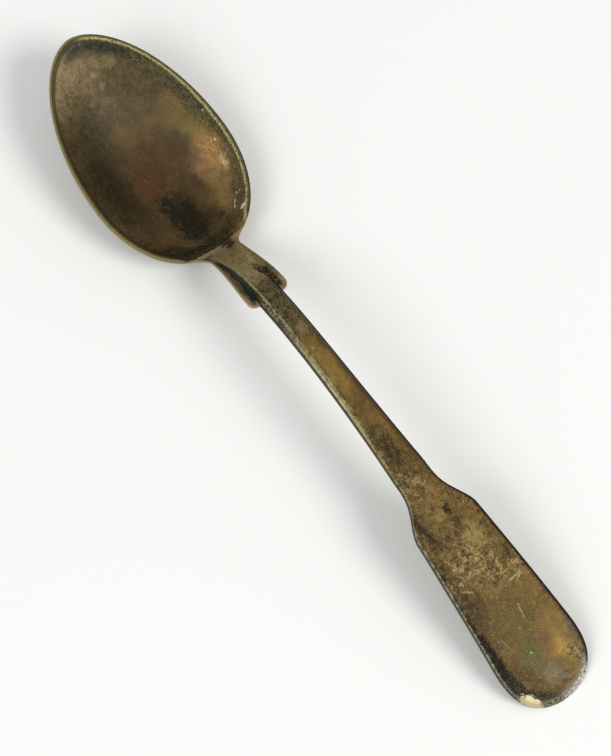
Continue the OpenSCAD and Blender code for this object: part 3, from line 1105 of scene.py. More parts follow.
# %% Where the finish looks
def surface(start):
    """What a finish reads: places, marks and grains, each made once for a material."""
    place = spoon_place(start)
    xyz = place.node("ShaderNodeSeparateXYZ", sockets={"Vector": place})
    marks = start.node("ShaderNodeAttribute", {"attribute_name": "edges"}, output="Vector")
    past_edge = marks.node("ShaderNodeSeparateXYZ", sockets={"Vector": marks})
    loose = shaken(shaken(shaken(place, 3.5, 0.9), 1.0, 0.5), 0.3, 0.16)
    mottle = fade(noise(place, 0.9, 5, 0.7), 0.3, 0.7)
    grit = fade(noise(place, 0.3, 3, 0.7), 0.36, 0.64)
    rough = mottle * 0.5 + grit * 0.5
    return SimpleNamespace(
        place=place,
        x=xyz,
        y=xyz.other("Y"),
        loose=loose,
        close=shaken(shaken(place, 0.8, 0.1), 0.25, 0.07),
        past_edge=past_edge,
        inside=past_edge.other("Y"),
        front=fade(past_edge.other("Z"), 0, 0.15),
        left=fade(xyz.other("Y"), 0.6, -0.6),
        cloud=fade(noise(loose, 5, 4), 0.36, 0.64),
        mottle=mottle,
        grit=grit,
        rough=rough,
        ragged=rough - 0.5,
    )


def worn_back(on):
    """The underside, which is paler: it is rubbed bright where it touches the table."""
    look = mixed(on.cloud, tone(84, 72, 50), tone(128, 114, 84))
    look = shaded(look, 0.75 + on.rough * 0.5)
    rubbed = oval(on.loose, (bowl.rest, 0), (7, 5)) * 0.7
    rubbed = calc("maximum", rubbed, oval(on.loose, (spoon_l - 2, 0), (6, 7)) * 0.6)
    return mixed(rubbed * fade(on.rough, 0.3, 0.6), look, tone(165, 156, 130))


# %% [markdown]
# ## The bowl's finish
# The hollow is where the tarnish is deepest. It is brown with a reddish middle, slate
# on the left wall and nearly black by the neck. The right wall has been rubbed golden and a
# painted reflection makes it lighter still, and a line of pits follows the rim there. The rim
# itself stays olive, with a paler inner line that is a painted highlight, and painted glints
# lie on the right wall. Noise alone would scatter such marks anywhere, so the large ones are
# placed in lists, and noise only gives them their grain.

# %% Stains of the bowl
BOWL_STAINS = [
    # colour, strength, middle, half lengths, turn in degrees, softness
    (tone(136, 119, 95), 0.9, (7.6, -7.0), (9.5, 3.4), -36, 0.9),  # the wall below the left rim
    (GREY_TAN, 0.7, (4.4, 0.4), (5.6, 7.0), 45, 1.0),  # cloudy film by the tip
    (tone(86, 75, 55), 0.75, (13.5, 3.5), (7.0, 6.0), 10, 1.0),
    (tone(124, 106, 68), 0.7, (18.4, 9.6), (4.4, 2.0), 14, 1.0),
    (tone(178, 160, 126), 0.85, (6.4, -6.4), (7.4, 1.3), -38, 0.9),
    (PALE_TAN, 0.7, (4.8, -3.2), (4.0, 1.5), -37, 0.9),
    (PALE_TAN, 0.6, (6.0, 4.4), (2.4, 1.6), 20, 0.9),
    (PALE_TAN, 0.4, (5.4, 2.1), (1.8, 1.4), 0, 0.9),
    (tone(154, 137, 102), 0.6, (5.4, -4.0), (3.4, 0.5), -39, 0.8),  # a pale smear
    (PALE_TAN, 0.5, (5.9, 3.9), (0.8, 0.6), 0, 0.9),
    (PALE_TAN, 0.5, (6.5, 0.6), (0.7, 0.5), 20, 0.9),
    (PALE_TAN, 0.4, (8.0, 1.2), (0.6, 0.5), 0, 0.9),
    (PALE_TAN, 0.4, (9.7, -2.5), (0.6, 0.5), 0, 0.9),
    (tone(62, 60, 48), 0.8, (14.5, -4.4), (9.5, 5.4), -28, 1.0),  # the dark left side
    (tone(50, 42, 27), 0.95, (23.5, -8.6), (13.0, 5.0), 2, 0.8),  # the shaded wall behind it
    (tone(76, 66, 50), 0.6, (19.0, -11.4), (8.0, 1.0), -6, 0.9),
    (tone(92, 64, 43), 0.6, (23.5, -0.6), (9.5, 4.5), -12, 1.0),
    (tone(114, 70, 45), 0.45, (26.2, -2.6), (4.4, 2.4), -20, 1.0),
    (tone(120, 103, 65), 0.75, (18.6, 8.0), (6.0, 3.4), -8, 1.0),
    (tone(150, 122, 80), 0.8, (35.6, 6.8), (6.0, 3.4), -25, 1.0),
    (tone(116, 90, 58), 0.7, (36.5, -5.2), (3.6, 2.2), 40, 1.0),
    (tone(70, 66, 52), 0.7, (22.5, 6.5), (2.6, 1.9), 15, 0.9),
    (tone(78, 58, 40), 0.7, (33.4, -6.9), (5.5, 2.6), 12, 0.9),
    (tone(50, 40, 27), 0.9, (40.6, -5.4), (5.2, 2.0), 53, 0.7),  # below the pale line
    (NEAR_BLACK, 0.9, (43.6, -1.4), (3.4, 1.5), 58, 0.7),
    (NEAR_BLACK, 0.8, (37.9, -6.2), (1.4, 0.3), 53, 0.7),
    (SOOT, 0.8, (40.8, 4.6), (1.3, 0.7), 20, 0.8),
    (SOOT, 0.8, (38.6, 3.6), (1.2, 0.8), -30, 0.8),
]
BOWL_WEAR_AND_SHEEN = [
    # the same columns
    # The rubbed right wall is also lit by a painted reflection, which makes it lighter still.
    (tone(164, 142, 90), 0.9, (24.6, 9.7), (6.0, 3.4), 10, 1.0),  # the rubbed right wall
    (tone(206, 160, 106), 0.9, (29.6, 8.9), (6.6, 4.0), 0, 1.0),
    (tone(214, 172, 108), 0.8, (27.4, 10.6), (3.4, 1.7), 20, 1.0),
    # Painted highlight: the pale cream patch.
    (tone(250, 232, 176), 0.95, (31.2, 10.0), (2.4, 0.9), -12, 0.9),
    (tone(104, 102, 74), 0.7, (32.8, 8.4), (1.3, 1.0), 0, 0.9),
    (tone(112, 88, 78), 0.5, (27.6, 6.6), (2.6, 1.6), 20, 1.0),
]
BOWL_SCRATCHES_AND_GLINTS = [
    # colour, strength, start, end, width
    (PALE_TAN, 0.75, (38.2, -6.4), (43.3, 0.1), 0.26),
    (CREAM, 0.6, (25.4, 8.2), (28.4, 10.0), 0.16),
    (CREAM, 0.9, (27.6, 9.5), (30.0, 10.9), 0.26),
    # Painted highlights: glints on the right wall by the neck.
    (PAINTED_GLINT, 1.0, (40.5, 6.9), (39.9, 8.9), 0.85),
    (PAINTED_GLINT, 1.0, (40.1, 8.0), (39.5, 9.6), 0.44),
    (PAINTED_WARM_GLINT, 0.9, (38.1, 7.7), (38.7, 6.9), 0.36),
    (PAINTED_WARM_GLINT, 0.7, (38.6, 7.0), (39.5, 6.5), 0.34),
    (PAINTED_WARM_GLINT, 0.7, (37.3, 8.0), (37.4, 8.7), 0.55),
    (PAINTED_WARM_GLINT, 0.6, (37.4, 8.6), (37.4, 9.3), 0.3),
    (CREAM, 0.4, (37.9, 6.4), (37.5, 7.4), 0.4),
    # Painted highlights: glints on the rubbed golden wall.
    (PAINTED_WARM_GLINT, 1.0, (27.5, 10.8), (27.3, 11.3), 0.36),
    (PAINTED_WARM_GLINT, 0.7, (27.0, 10.2), (27.2, 10.7), 0.24),
    (PAINTED_GLINT, 0.6, (22.2, 12.3), (22.8, 12.1), 0.4),
    # Painted highlights on small bumps, with painted shade beside one of them at (30.0, 8.0).
    (CREAM, 0.6, (30.2, 11.5), (30.4, 11.8), 0.4),
    (CREAM, 0.7, (31.8, 9.6), (31.9, 9.9), 0.3),
    (CREAM, 0.5, (29.6, 8.0), (29.7, 8.2), 0.4),
    (SOOT, 0.6, (30.0, 8.0), (30.1, 8.2), 0.4),
    (CREAM, 0.4, (27.1, 8.4), (27.1, 8.6), 0.4),
    (CREAM, 0.4, (29.0, 5.4), (29.0, 5.6), 0.5),
    (EMBER, 0.9, (24.7, -2.4), (25.2, -2.3), 0.4),
    (EMBER, 0.4, (25.2, -2.0), (25.8, -1.8), 0.4),
]
print(len(BOWL_STAINS) + len(BOWL_WEAR_AND_SHEEN), "stains and", len(BOWL_SCRATCHES_AND_GLINTS), "scratches")

# %% [markdown]
# ## The bowl's layers
# The hollow comes first: its stains, the black bloom by the neck and the grey film by the
# tip. The arc, the pits and the rim's colours, with the rim's painted light and shade, are laid
# over it, and they all follow the rim. They could be rows of ovals too, but past_edge already
# holds the distance from the hollow's edge, so a bell around one distance keeps to the curve by
# itself.


# %% The bowl's hollow
def hollow_look(on, wall, patch):
    """Brown with its stains, the black bloom by the neck and the film by the tip."""
    look = mixed(on.cloud, tone(78, 61, 40), tone(100, 80, 54))
    look = stained(look, on.loose, BOWL_STAINS)
    look = mixed(patch * wall * 0.4, look, tone(84, 76, 54))
    bloom = calc(
        "maximum",
        oval(on.loose, (34.6, -0.8), (9.5, 5.4), 14, 1.0),
        oval(on.loose, (38.6, -0.6), (6.0, 4.4), -10, 1.0),
    )
    bloom = fade(bloom + (on.mottle - 0.5) * 0.8, 0.24, 0.8)
    look = mixed(bloom * 0.93, look, mixed(on.cloud, tone(32, 31, 18), tone(28, 33, 25)))
    film = fade(on.x, 24, 8)
    lines = streaks(on.close, -37, 1.5, 0.5)
    look = mixed(film * fade(lines, 0.46, 0.62) * 0.12, look, PALE_TAN)
    look = mixed(film * fade(lines, 0.5, 0.36) * 0.08, look, tone(62, 56, 46))
    look = mixed(film * patch * 0.16, look, tone(136, 126, 104))
    look = mixed(film * fade(patch, 0.6, 0.1) * 0.45, look, tone(72, 63, 50))
    return shaded(look, 1.25 + wall * 0.4)


def below_rim(look, on, rim_side, right, patch):
    """The tip's black arc, the band of pits, and the rubbed wall with its painted sheen and
    glints. It gives the pits too.
    """
    black_arc = bell(rim_side, -1.1, 1.8) * fade(on.x, 11, 6) * fade(on.y, -3.5, -1)
    look = mixed(black_arc * 0.9, look, tone(54, 58, 60))
    pit_band = bell(on.past_edge, -1.1, 1.7) * right * fade(on.x, 5, 10) * fade(on.x, 42, 38)
    look = mixed(pit_band * 0.75, look, tone(116, 110, 84))
    pits = pit_band * fade(on.rough, 0.5, 0.3)
    look = mixed(pits * fade(on.x, 34, 24) * 0.42, look, tone(52, 54, 50))
    look = stained(look, on.loose, BOWL_WEAR_AND_SHEEN)
    rubbed = oval(on.loose, (28.5, 8.8), (9, 4.6), 0, 0.9)
    look = mixed(fade(patch, 0.2, 0.8) * rubbed * 0.4, look, tone(116, 102, 82))
    # Painted glints: gold specks of light on the rubbed wall.
    spark_glints = specks(on.close, 0.7, 0.3, 0.3) * rubbed
    look = mixed(spark_glints * 0.6, look, tone(214, 190, 130))
    end_wall = fade(on.past_edge, -2.4, -0.6) * fade(on.x, 35, 40) * fade(on.y, 6, 2)
    look = mixed(end_wall * 0.85, look, tone(42, 34, 19))
    dust = specks(on.place, 0.5, 0.3, 0.4) * pit_band
    return mixed(dust * 0.8, look, tone(178, 174, 152)), pits


# %% The bowl's rim and its metal
def rimmed(look, on, rim_side, right):
    """The look with the rim, lit and shaded in paint: light outside and dark inside on the left
    side of the bowl, the other way on the right, and a painted highlight along the right one's
    ridge."""
    rim_side = rim_side - fade(on.x, 40.5, 43.5) * 0.85
    lit_rim_tone = shaded(tone(152, 140, 98), 0.75 + on.rough * 0.5)
    shaded_rim_tone = shaded(tone(84, 69, 42), 0.75 + on.rough * 0.5)
    left_rim = mixed(fade(on.inside, 0.6, 0.25), shaded_rim_tone, lit_rim_tone)
    right_rim = mixed(fade(on.inside, 0.2, 0.45), shaded_rim_tone, mixed(on.mottle, lit_rim_tone, shaded_rim_tone))
    by_neck = shaded(tone(152, 137, 102), 0.7 + on.rough * 0.6)
    rim_look = mixed(right, left_rim, right_rim)
    rim_look = mixed(fade(on.x, 41.5, 44), rim_look, by_neck)
    # Painted shade: a dark line just inside the rim on the left half, where the steep wall under
    # it lies in shade.
    look = mixed(bell(rim_side, -0.2, 0.3) * (1 - right) * 0.8, look, tone(58, 46, 30))
    look = mixed(fade(rim_side, -0.1, 0.06), look, rim_look)
    # Painted highlight along the right rim's ridge, broken by the grit.
    rim_highlight = bell(rim_side, 0.02, 0.34) * right * fade(on.grit, 0.05, 0.4)
    look = mixed(rim_highlight * fade(on.x, 43.4, 41.6) * 0.9, look, tone(212, 205, 154))
    corner = oval(on.close, (44.2, 1.4), (1.7, 1.5), 0, 0.5)
    return mixed(corner * 0.9, look, tone(48, 38, 24))


def bowl_metal():
    material, start = new_material("bowl_plate")
    on = surface(start)
    right = fade(on.y, 0, 4)
    wall = fade(on.past_edge, -7, -1)
    patch = fade(noise(on.loose, 1.6, 4, 0.7), 0.42, 0.6)
    rim_side = on.past_edge + on.ragged * 0.2
    look = hollow_look(on, wall, patch)
    look, pits = below_rim(look, on, rim_side, right, patch)
    look = speckled(look, on.rough, 0.13 + wall * 0.27)
    look = scratched(look, on, BOWL_SCRATCHES_AND_GLINTS)
    look = rimmed(look, on, rim_side, right)
    look = mixed(on.front, worn_back(on), look)
    height = on.rough * 0.035 - pits * 0.03
    finish_metal(material, look, height, clamped(0.42 + on.rough * 0.16 + pits * 0.1))


bowl_metal()

# %% [markdown]
# ## The handle's finish
# The stem and the blade share one list of stains, so a stain may cross from one piece to the
# next. The neck is olive grey and pitted, and painted lighter where its slope would shade it,
# the stem golden, the blade has a dried tan crust that stops along a ragged line, and beyond it
# the film turns green, plum and gold. A painted reflection makes the left flanks greenish silver,
# and painted shade keeps the right ones dark.

# %% Stains of the handle
HANDLE_STAINS = [
    # colour, strength, middle, half lengths, turn in degrees, softness
    # The neck's stain is painted lighter, to make up for the shade that its slope would take.
    (tone(182, 165, 124), 0.95, (49.0, 0.0), (8.5, 6.0), 0, 0.5),  # the neck
    (tone(116, 101, 76), 0.9, (63.0, 0.3), (8.0, 3.4), 0, 0.6),
    (tone(172, 150, 112), 0.7, (67.4, 0.4), (3.4, 1.5), 0, 1.0),
    (tone(158, 128, 72), 0.9, (75.5, -0.2), (8.4, 2.4), 0, 0.7),  # the golden stretch
    (tone(142, 104, 58), 0.8, (88.0, 1.0), (4.6, 1.2), 4, 0.9),
    (tone(78, 62, 37), 0.85, (92.5, -1.2), (6.5, 2.0), 6, 0.9),
    (tone(76, 56, 37), 0.9, (121.5, -5.2), (11.0, 3.8), -3, 0.9),  # plum brown left side
    (tone(100, 86, 50), 0.85, (127.0, 0.4), (10.0, 6.5), 0, 0.8),
    (tone(92, 72, 44), 0.8, (106.5, -3.6), (6.0, 3.0), 8, 0.8),
    (tone(140, 98, 58), 0.6, (108.6, 4.7), (2.8, 1.6), 8, 0.9),
    (tone(136, 108, 62), 0.8, (130.6, 5.0), (5.0, 3.4), 15, 1.0),
    (tone(168, 144, 78), 0.9, (133.2, 3.9), (2.8, 2.2), 10, 1.0),
    (tone(158, 104, 64), 0.6, (132.6, 2.2), (2.6, 1.5), -14, 1.0),
    (tone(118, 80, 72), 0.6, (130.4, 1.7), (2.2, 1.6), -14, 1.0),
    (tone(86, 97, 64), 0.65, (132.0, -1.4), (5.0, 3.0), 20, 1.0),
    (tone(104, 98, 84), 0.7, (135.0, 0.8), (2.4, 3.0), 0, 1.0),
    (tone(72, 52, 42), 0.9, (132.8, -4.4), (4.4, 2.6), 10, 1.0),
    (tone(88, 84, 68), 0.9, (136.0, 5.5), (2.2, 1.6), 10, 0.7),  # the mottled corner
    (tone(60, 66, 68), 0.85, (137.0, 1.6), (1.6, 1.4), 0, 0.7),
    (tone(96, 82, 80), 0.85, (131.6, 7.2), (5.0, 1.3), 0, 0.9),
    (tone(132, 122, 106), 0.75, (136.0, 0.0), (2.6, 2.2), 0, 1.0),
    (tone(84, 70, 46), 0.8, (135.6, -3.0), (3.2, 2.6), 0, 1.0),
    (tone(58, 47, 30), 0.9, (44.6, 1.5), (1.7, 1.4), -30, 0.6),  # the hollow's dark corner
    (tone(168, 132, 84), 0.6, (137.2, 1.6), (0.5, 1.6), 0, 1.0),
]
BLADE_SPOTS = [
    # the same columns
    (tone(126, 84, 46), 0.6, (107.6, 4.4), (3.4, 1.8), 8, 1.0),  # smooth reddish stretches
    (tone(104, 76, 44), 0.7, (108.9, -1.9), (2.6, 1.8), 0, 1.0),
    (tone(116, 84, 48), 0.6, (111.8, 5.1), (2.4, 1.4), 0, 1.0),
    (tone(54, 44, 28), 0.9, (106.0, -4.0), (5.4, 1.4), 12, 0.9),  # the dark left side
    (tone(70, 55, 36), 0.6, (120.0, -4.2), (3.0, 1.8), 0, 0.9),
    (tone(172, 148, 92), 0.6, (105.6, -0.3), (1.1, 0.8), 0, 0.9),
    (tone(150, 122, 72), 0.5, (102.0, 0.8), (3.0, 2.2), 0, 1.0),
    (tone(50, 44, 32), 0.95, (105.2, 1.1), (1.5, 0.9), -38, 0.5),  # two dark spots
    (tone(72, 60, 38), 0.85, (108.3, 1.2), (2.2, 1.2), -20, 0.7),
    (tone(44, 34, 24), 0.9, (113.5, -5.4), (1.2, 0.7), 8, 0.6),
    (tone(62, 46, 34), 0.85, (115.0, -3.7), (1.8, 0.7), 20, 0.7),
    (tone(58, 44, 28), 0.8, (111.8, -5.0), (1.8, 0.8), 8, 0.7),
    (tone(66, 50, 32), 0.7, (108.0, -4.2), (4.0, 1.2), 12, 0.8),
    (tone(196, 170, 110), 0.8, (111.0, 2.4), (2.8, 1.8), 0, 0.9),
    (tone(88, 66, 36), 0.6, (115.4, 5.2), (3.0, 1.3), -10, 0.9),
]
HANDLE_SCRATCHES_AND_GLINT = [
    # colour, strength, start, end, width
    (CREAM, 0.8, (123.5, 1.75), (125.4, 1.45), 0.3),
    (CREAM, 0.6, (125.0, 1.6), (126.3, 1.2), 0.24),
    (CREAM, 0.8, (120.2, 2.2), (119.9, 5.2), 0.4),
    (CREAM, 0.7, (120.6, 3.7), (120.2, 6.0), 0.34),
    (CREAM, 0.6, (121.4, 3.2), (119.0, 6.2), 0.28),
    (CREAM, 0.5, (118.4, 1.2), (118.9, 5.4), 0.28),
    (CREAM, 0.5, (119.6, 0.8), (117.2, 3.8), 0.3),
    (CRUST, 1.0, (116.9, -5.2), (118.6, -2.9), 0.6),
    (CRUST, 0.9, (111.0, -4.4), (114.0, -3.1), 0.5),
    (CRUST, 0.7, (113.6, -4.6), (117.0, -2.6), 0.4),
    (CRUST, 0.7, (109.6, -2.0), (112.4, 0.2), 0.4),
    (CRUST, 0.4, (107.0, -0.2), (110.0, 1.0), 0.34),
    # Painted highlight: a glint on the left flank by the ears.
    (tone(210, 208, 178), 0.9, (56.6, -1.2), (59.2, -1.75), 0.3),
    (tone(150, 152, 140), 0.5, (126.3, -4.1), (129.4, -3.4), 0.4),
    (tone(150, 152, 140), 0.4, (125.8, -4.6), (128.0, -4.2), 0.3),
    (tone(205, 160, 130), 0.9, (105.6, 4.1), (106.0, 4.1), 0.45),
    (CREAM, 0.9, (131.0, -1.0), (131.4, -1.0), 0.4),
    (CREAM, 0.6, (134.8, -2.2), (135.1, -2.2), 0.4),
    (NEAR_BLACK, 0.9, (132.5, 1.1), (132.9, 1.1), 0.4),
    (tone(186, 158, 108), 0.8, (70.8, -0.5), (71.6, -0.3), 0.9),
    (tone(178, 122, 70), 0.5, (85.5, 1.2), (89.5, 1.5), 0.25),
]
CRUST_ZONES = [
    # strength, middle, half lengths, turn in degrees
    (1.0, (99.2, -0.8), (4.0, 2.6), 30),
    (0.4, (103.5, -0.6), (5.0, 3.6), 10),
    (0.7, (109.4, -2.6), (5.0, 3.6), 10),
    (1.0, (114.0, -0.6), (6.0, 4.2), 0),
    (1.0, (116.8, 1.2), (4.4, 6.2), -8),
    (0.95, (118.0, 5.0), (3.2, 3.4), -15),
    (1.0, (115.8, -4.7), (3.6, 2.2), 8),
    (0.75, (111.5, 3.4), (5.4, 3.0), 0),
]
print(len(HANDLE_STAINS) + len(BLADE_SPOTS), "stains and", len(HANDLE_SCRATCHES_AND_GLINT), "scratches")

# %% [markdown]
# ## The blade's crust and end
# Something has dried on the blade and left a pale crust of matted flakes, and the end
# has been knocked and rubbed: its left edge is black, a chip in the plate shows cream,
# and the far edge shines. The crust could be a mesh of its own, but it is thinner than a
# tenth of a millimetre, so it is colour with a little relief. Two sets of crossing
# streaks and one fine noise give the flakes, and the same noise gives the gaps.


# %% The blade's crust
def crusted(look, height, on, low, high):
    """The blade's pale crust: matted flakes with a cloudy colour and dark gaps."""
    zone = on.x * 0
    for strength, middle, size, turn in CRUST_ZONES:
        if low - size[0] < middle[0] < high + size[0]:
            spot = oval(on.loose, middle, size, turn, 0.6) * strength
            zone = calc("maximum", zone, spot)
    lumps = noise(on.close, 1.05, 9, 0.78)
    threads = calc(
        "maximum",
        bell(streaks(on.close, 25, 2.2, 0.6), 0.5, 0.05),
        bell(streaks(on.close, -48, 1.8, 0.55), 0.5, 0.05),
    )
    swirl = bell(from_middle(on.close, (114.9, 0.2), (1.3, 1.3)), 1, 0.3)
    swirl = calc("maximum", swirl, bell(from_middle(on.close, (117.3, 3.6), (1.2, 0.9)), 1, 0.3))
    flakes = fade(lumps + zone * 0.08, 0.54, 0.64) * 0.9 + threads * 0.55 + swirl * 0.6
    flakes = clamped(flakes * zone * (0.55 + on.grit * 0.75))
    gaps = fade(lumps, 0.48, 0.38) * zone
    look = mixed(zone * 0.4, look, mixed(on.cloud, tone(88, 66, 38), tone(118, 94, 54)))
    look = mixed(gaps * 0.8, look, tone(54, 41, 23))
    tint = fade(noise(on.loose, 2.4, 3), 0.4, 0.6)
    look = mixed(flakes * 0.85, look, mixed(tint, tone(184, 154, 114), tone(182, 158, 104)))
    look = stained(look, on.loose, BLADE_SPOTS, low, high)
    return look, height + flakes * 0.04 - gaps * 0.03


# %% The blade's end
def glittering(look, on):
    """Gold dust and bright dashes on the blade's clean end, and dark points before it."""
    dust = specks(on.close, 0.42, 0.24, 0.35) * fade(on.x, 108, 122)
    look = mixed(dust * 0.45, look, tone(184, 164, 112))
    dashes = fade(streaks(on.place, 62, 0.42, 0.16), 0.6, 0.68) * fade(on.x, 114, 124)
    look = mixed(dashes * 0.6, look, tone(190, 170, 110))
    points = specks(on.place, 0.6, 0.22, 0.4) * fade(on.x, 128, 110)
    return mixed(points * 0.7, look, tone(46, 36, 24))


def blade_edges(look, on):
    """The look with its black left edge, its mottled end and its silvery far edge, worn bare and
    brightened by a painted highlight.
    """
    worn = on.inside + on.ragged * 1.3
    along_left = fade(on.x, 112, 124) * fade(on.y, -1.0, -4.5)
    widening = fade(on.x, 120, 134) * 2.0
    look = mixed(fade(worn - widening, 1.5, 0.3) * along_left, look, tone(22, 17, 8))
    look = mixed(fade(worn, 1.2, 0.2) * fade(on.y, 3, 5) * 0.85, look, tone(62, 49, 34))
    end = fade(worn, 3.8, 1.4) * fade(on.x, 130.5, 135.5) * fade(on.y, 2, -1)
    look = mixed(end * 0.9, look, mixed(on.grit, tone(14, 12, 7), tone(76, 72, 58)))
    beside_chip = bell(on.y, -2.6, 2.4) * fade(worn, 1.3, 0.7) * fade(on.x, 135, 137)
    look = mixed(beside_chip * fade(on.rough, 0.3, 0.6), look, tone(170, 168, 158))
    far = fade(on.y, -2.2, 0.8) * fade(on.y, 7.2, 4.5) * fade(on.x, 135, 137.2)
    look = mixed(fade(worn, 2.2, 1.0) * far * 0.75, look, tone(132, 122, 110))
    mottled = oval(on.loose, (135.4, 5.2), (2.8, 1.9), 10, 1.0)
    look = mixed(mottled * fade(on.rough, 0.45, 0.65) * 0.8, look, tone(168, 154, 110))
    look = mixed(mottled * fade(on.rough, 0.5, 0.3), look, tone(44, 44, 38))
    silver = tone(232, 232, 228, BRIGHT_GAIN)
    bare_silver_highlight = fade(worn, 1.25, 0.4) * far * fade(on.grit, 0.1, 0.5)
    return mixed(bare_silver_highlight, look, shaded(silver, 0.5 + on.grit * 0.7))


def chipped(look, height, on):
    """The bare cream chip at the end's left corner, with ragged sides."""
    chip = from_middle(on.close, (137.3, -5.5), (2.1, 1.0), 41) + on.ragged
    chip = fade(chip, 1, 0.8)
    cream = shaded(tone(238, 224, 192), 0.85 + on.rough * 0.3)
    return mixed(chip, look, cream), height - chip * 0.05


# %% [markdown]
# ## Dirt, and painted light on the flanks
# Pits hold soot. On the bevelled flanks the colour carries painted light: a painted reflection
# makes the left ones light, with painted highlights along them, and painted shade makes the
# right ones dark. The flanks could be faces with a material of their own, but then the change
# would be as sharp as a paint line. The mark past_edge tells how far a point lies past the
# crease, so the flank's colour can start softly and waver with the grain.


# %% The handle's dirt and flanks
def ear_pits(on, middle, size):
    """The sooty pits by the right ear, which the stem and the shoulder share."""
    return oval(on.loose, middle, size, 8, 0.5) * fade(on.rough, 0.85, 0.6)


def dirty(look, height, on):
    """Specks everywhere, most by the neck and on the blade's front half, and some pits."""
    thick = calc("maximum", fade(on.x, 74, 62), fade(on.x, 84, 94) * fade(on.x, 126, 116))
    look = speckled(shaded(look, 1.0 + on.mottle * 0.14), on.rough, 0.27 + thick * 0.3)
    pitted = fade(on.x, 73, 60) * fade(on.x, 53, 59) * fade(on.rough, 0.52, 0.34)
    look = mixed(pitted * 0.5, look, tone(44, 36, 24))
    darker = oval(on.loose, (92.5, -1), (6.5, 2.2), 6, 0.8) * fade(on.rough, 0.55, 0.35)
    look = mixed(darker * 0.7, look, tone(44, 34, 20))
    pits = ear_pits(on, (55.8, 2.3), (4.6, 1.4))
    return mixed(pits * 0.95, look, SOOT), height - pits * 0.08 - pitted * 0.04


def left_flank_sheen_and_tarnish(on):
    """Greenish silver as a painted reflection, whiter on the blade and dull by the ears, with a
    painted highlight line.
    """
    look = mixed(on.mottle, tone(146, 136, 96), tone(200, 191, 148))
    look = mixed(fade(on.x, 98, 108), look, tone(178, 180, 164))
    look = speckled(look, on.rough, 0.4)
    # Painted highlight: a bright line along the left flank.
    flank_highlight = bell(on.x, 79, 13) * bell(on.inside, 0.34, 0.22) * fade(on.rough, 0.2, 0.5)
    look = mixed(flank_highlight * 0.9, look, tone(244, 238, 204))
    dull = calc("maximum", fade(on.x, 61, 57), fade(on.x, 74, 62) * fade(on.rough, 0.66, 0.46))
    look = mixed(dull * 0.95, look, BLUE_GREEN_BLACK)
    return mixed(fade(on.inside, 0.3, 0.12) * 0.85, look, tone(56, 52, 38))


def flanked(look, on, is_blade):
    """The look with its flanks: a painted reflection on the left side, and painted shade on the
    right.
    """
    wide = bell(on.x, 79, 13) * on.left * 0.3
    softer = bell(on.x, 80, 20) * on.left * 0.4
    flank = fade(on.past_edge + wide + on.ragged * 0.3, -softer - 0.15, softer + 0.15)
    right_flank_shade = mixed(on.mottle, tone(50, 40, 24), tone(80, 65, 42))
    flank_sheen_and_shade = mixed(on.left, right_flank_shade, left_flank_sheen_and_tarnish(on))
    starts = blend(fade(on.x, 52, 60), fade(on.x, 45, 48), on.left)
    # Painted shade: the right side is darker, and its outer edge darker still.
    right_side_shade = fade(on.inside, 1.5, 0.6) * (1 - on.left) * fade(on.x, 60, 68)
    outer = fade(on.inside, 0.4, 0.1) * (1 - on.left) * fade(on.x, 57, 60)
    if is_blade:
        starts = starts * (1 - fade(on.x, 134.5, 136.5) * fade(on.y, -5, -3.6))
        outer = outer * fade(on.x, 137.4, 136.4)
    look = mixed(right_side_shade * fade(on.x, 104, 94) * 0.6, look, tone(82, 63, 38))
    look = mixed(flank * starts, look, flank_sheen_and_shade)
    seam = bell(on.past_edge + wide, -0.1, 0.3) * on.left * fade(on.x, 66, 72)
    seam = calc("maximum", seam, bell(on.past_edge, 0.12, 0.34) * on.left * fade(on.x, 98, 106))
    look = mixed(seam * fade(on.rough, 0.7, 0.4) * 0.6, look, tone(64, 52, 30))
    look = mixed(outer * 0.9, look, tone(30, 23, 12))
    # Painted highlight: a light line along the left crease by the ears.
    line = bell(on.past_edge, 0, 0.26) * on.left * fade(on.x, 45, 48) * fade(on.x, 72, 60)
    return mixed(line * fade(on.rough, 0.3, 0.5) * 0.9, look, tone(196, 194, 164))


# %% The handle's metal
def handle_metal(slot_name, low, high):
    """The finish of a piece of the handle that lies between low and high mm."""
    material, start = new_material(slot_name)
    on = surface(start)
    is_blade = high == spoon_l
    look = mixed(on.cloud, tone(104, 81, 47), tone(128, 103, 60))
    look = stained(look, on.loose, HANDLE_STAINS, low, high)
    look, height = crusted(look, on.rough * 0.04, on, low, high)
    if is_blade:
        look = blade_edges(glittering(look, on), on)
    look, height = dirty(look, height, on)
    look = scratched(look, on, [row for row in HANDLE_SCRATCHES_AND_GLINT if low < row[2][0] < high])
    look = flanked(look, on, is_blade)
    if is_blade:
        look, height = chipped(look, height, on)
    look = mixed(on.front, worn_back(on), look)
    dull_side = fade(on.inside, 0.7, 0.3) * (1 - on.left) * 0.4
    finish_metal(material, look, height, clamped(0.44 + on.rough * 0.16 + dull_side))


handle_metal("stem_plate", bowl.length, blade_x)
handle_metal("blade_plate", blade_x, spoon_l)

# %% [markdown]
# ## The finish of the shoulders and the heel
# Polish and dirt gather in the groove beside the stem, which has gone blue-black. The outer
# edge and the ears stick out and are rubbed down to the coppery metal, and painted highlights
# lie along them. The heel faces the table and has nothing but the worn underside that every
# piece has.


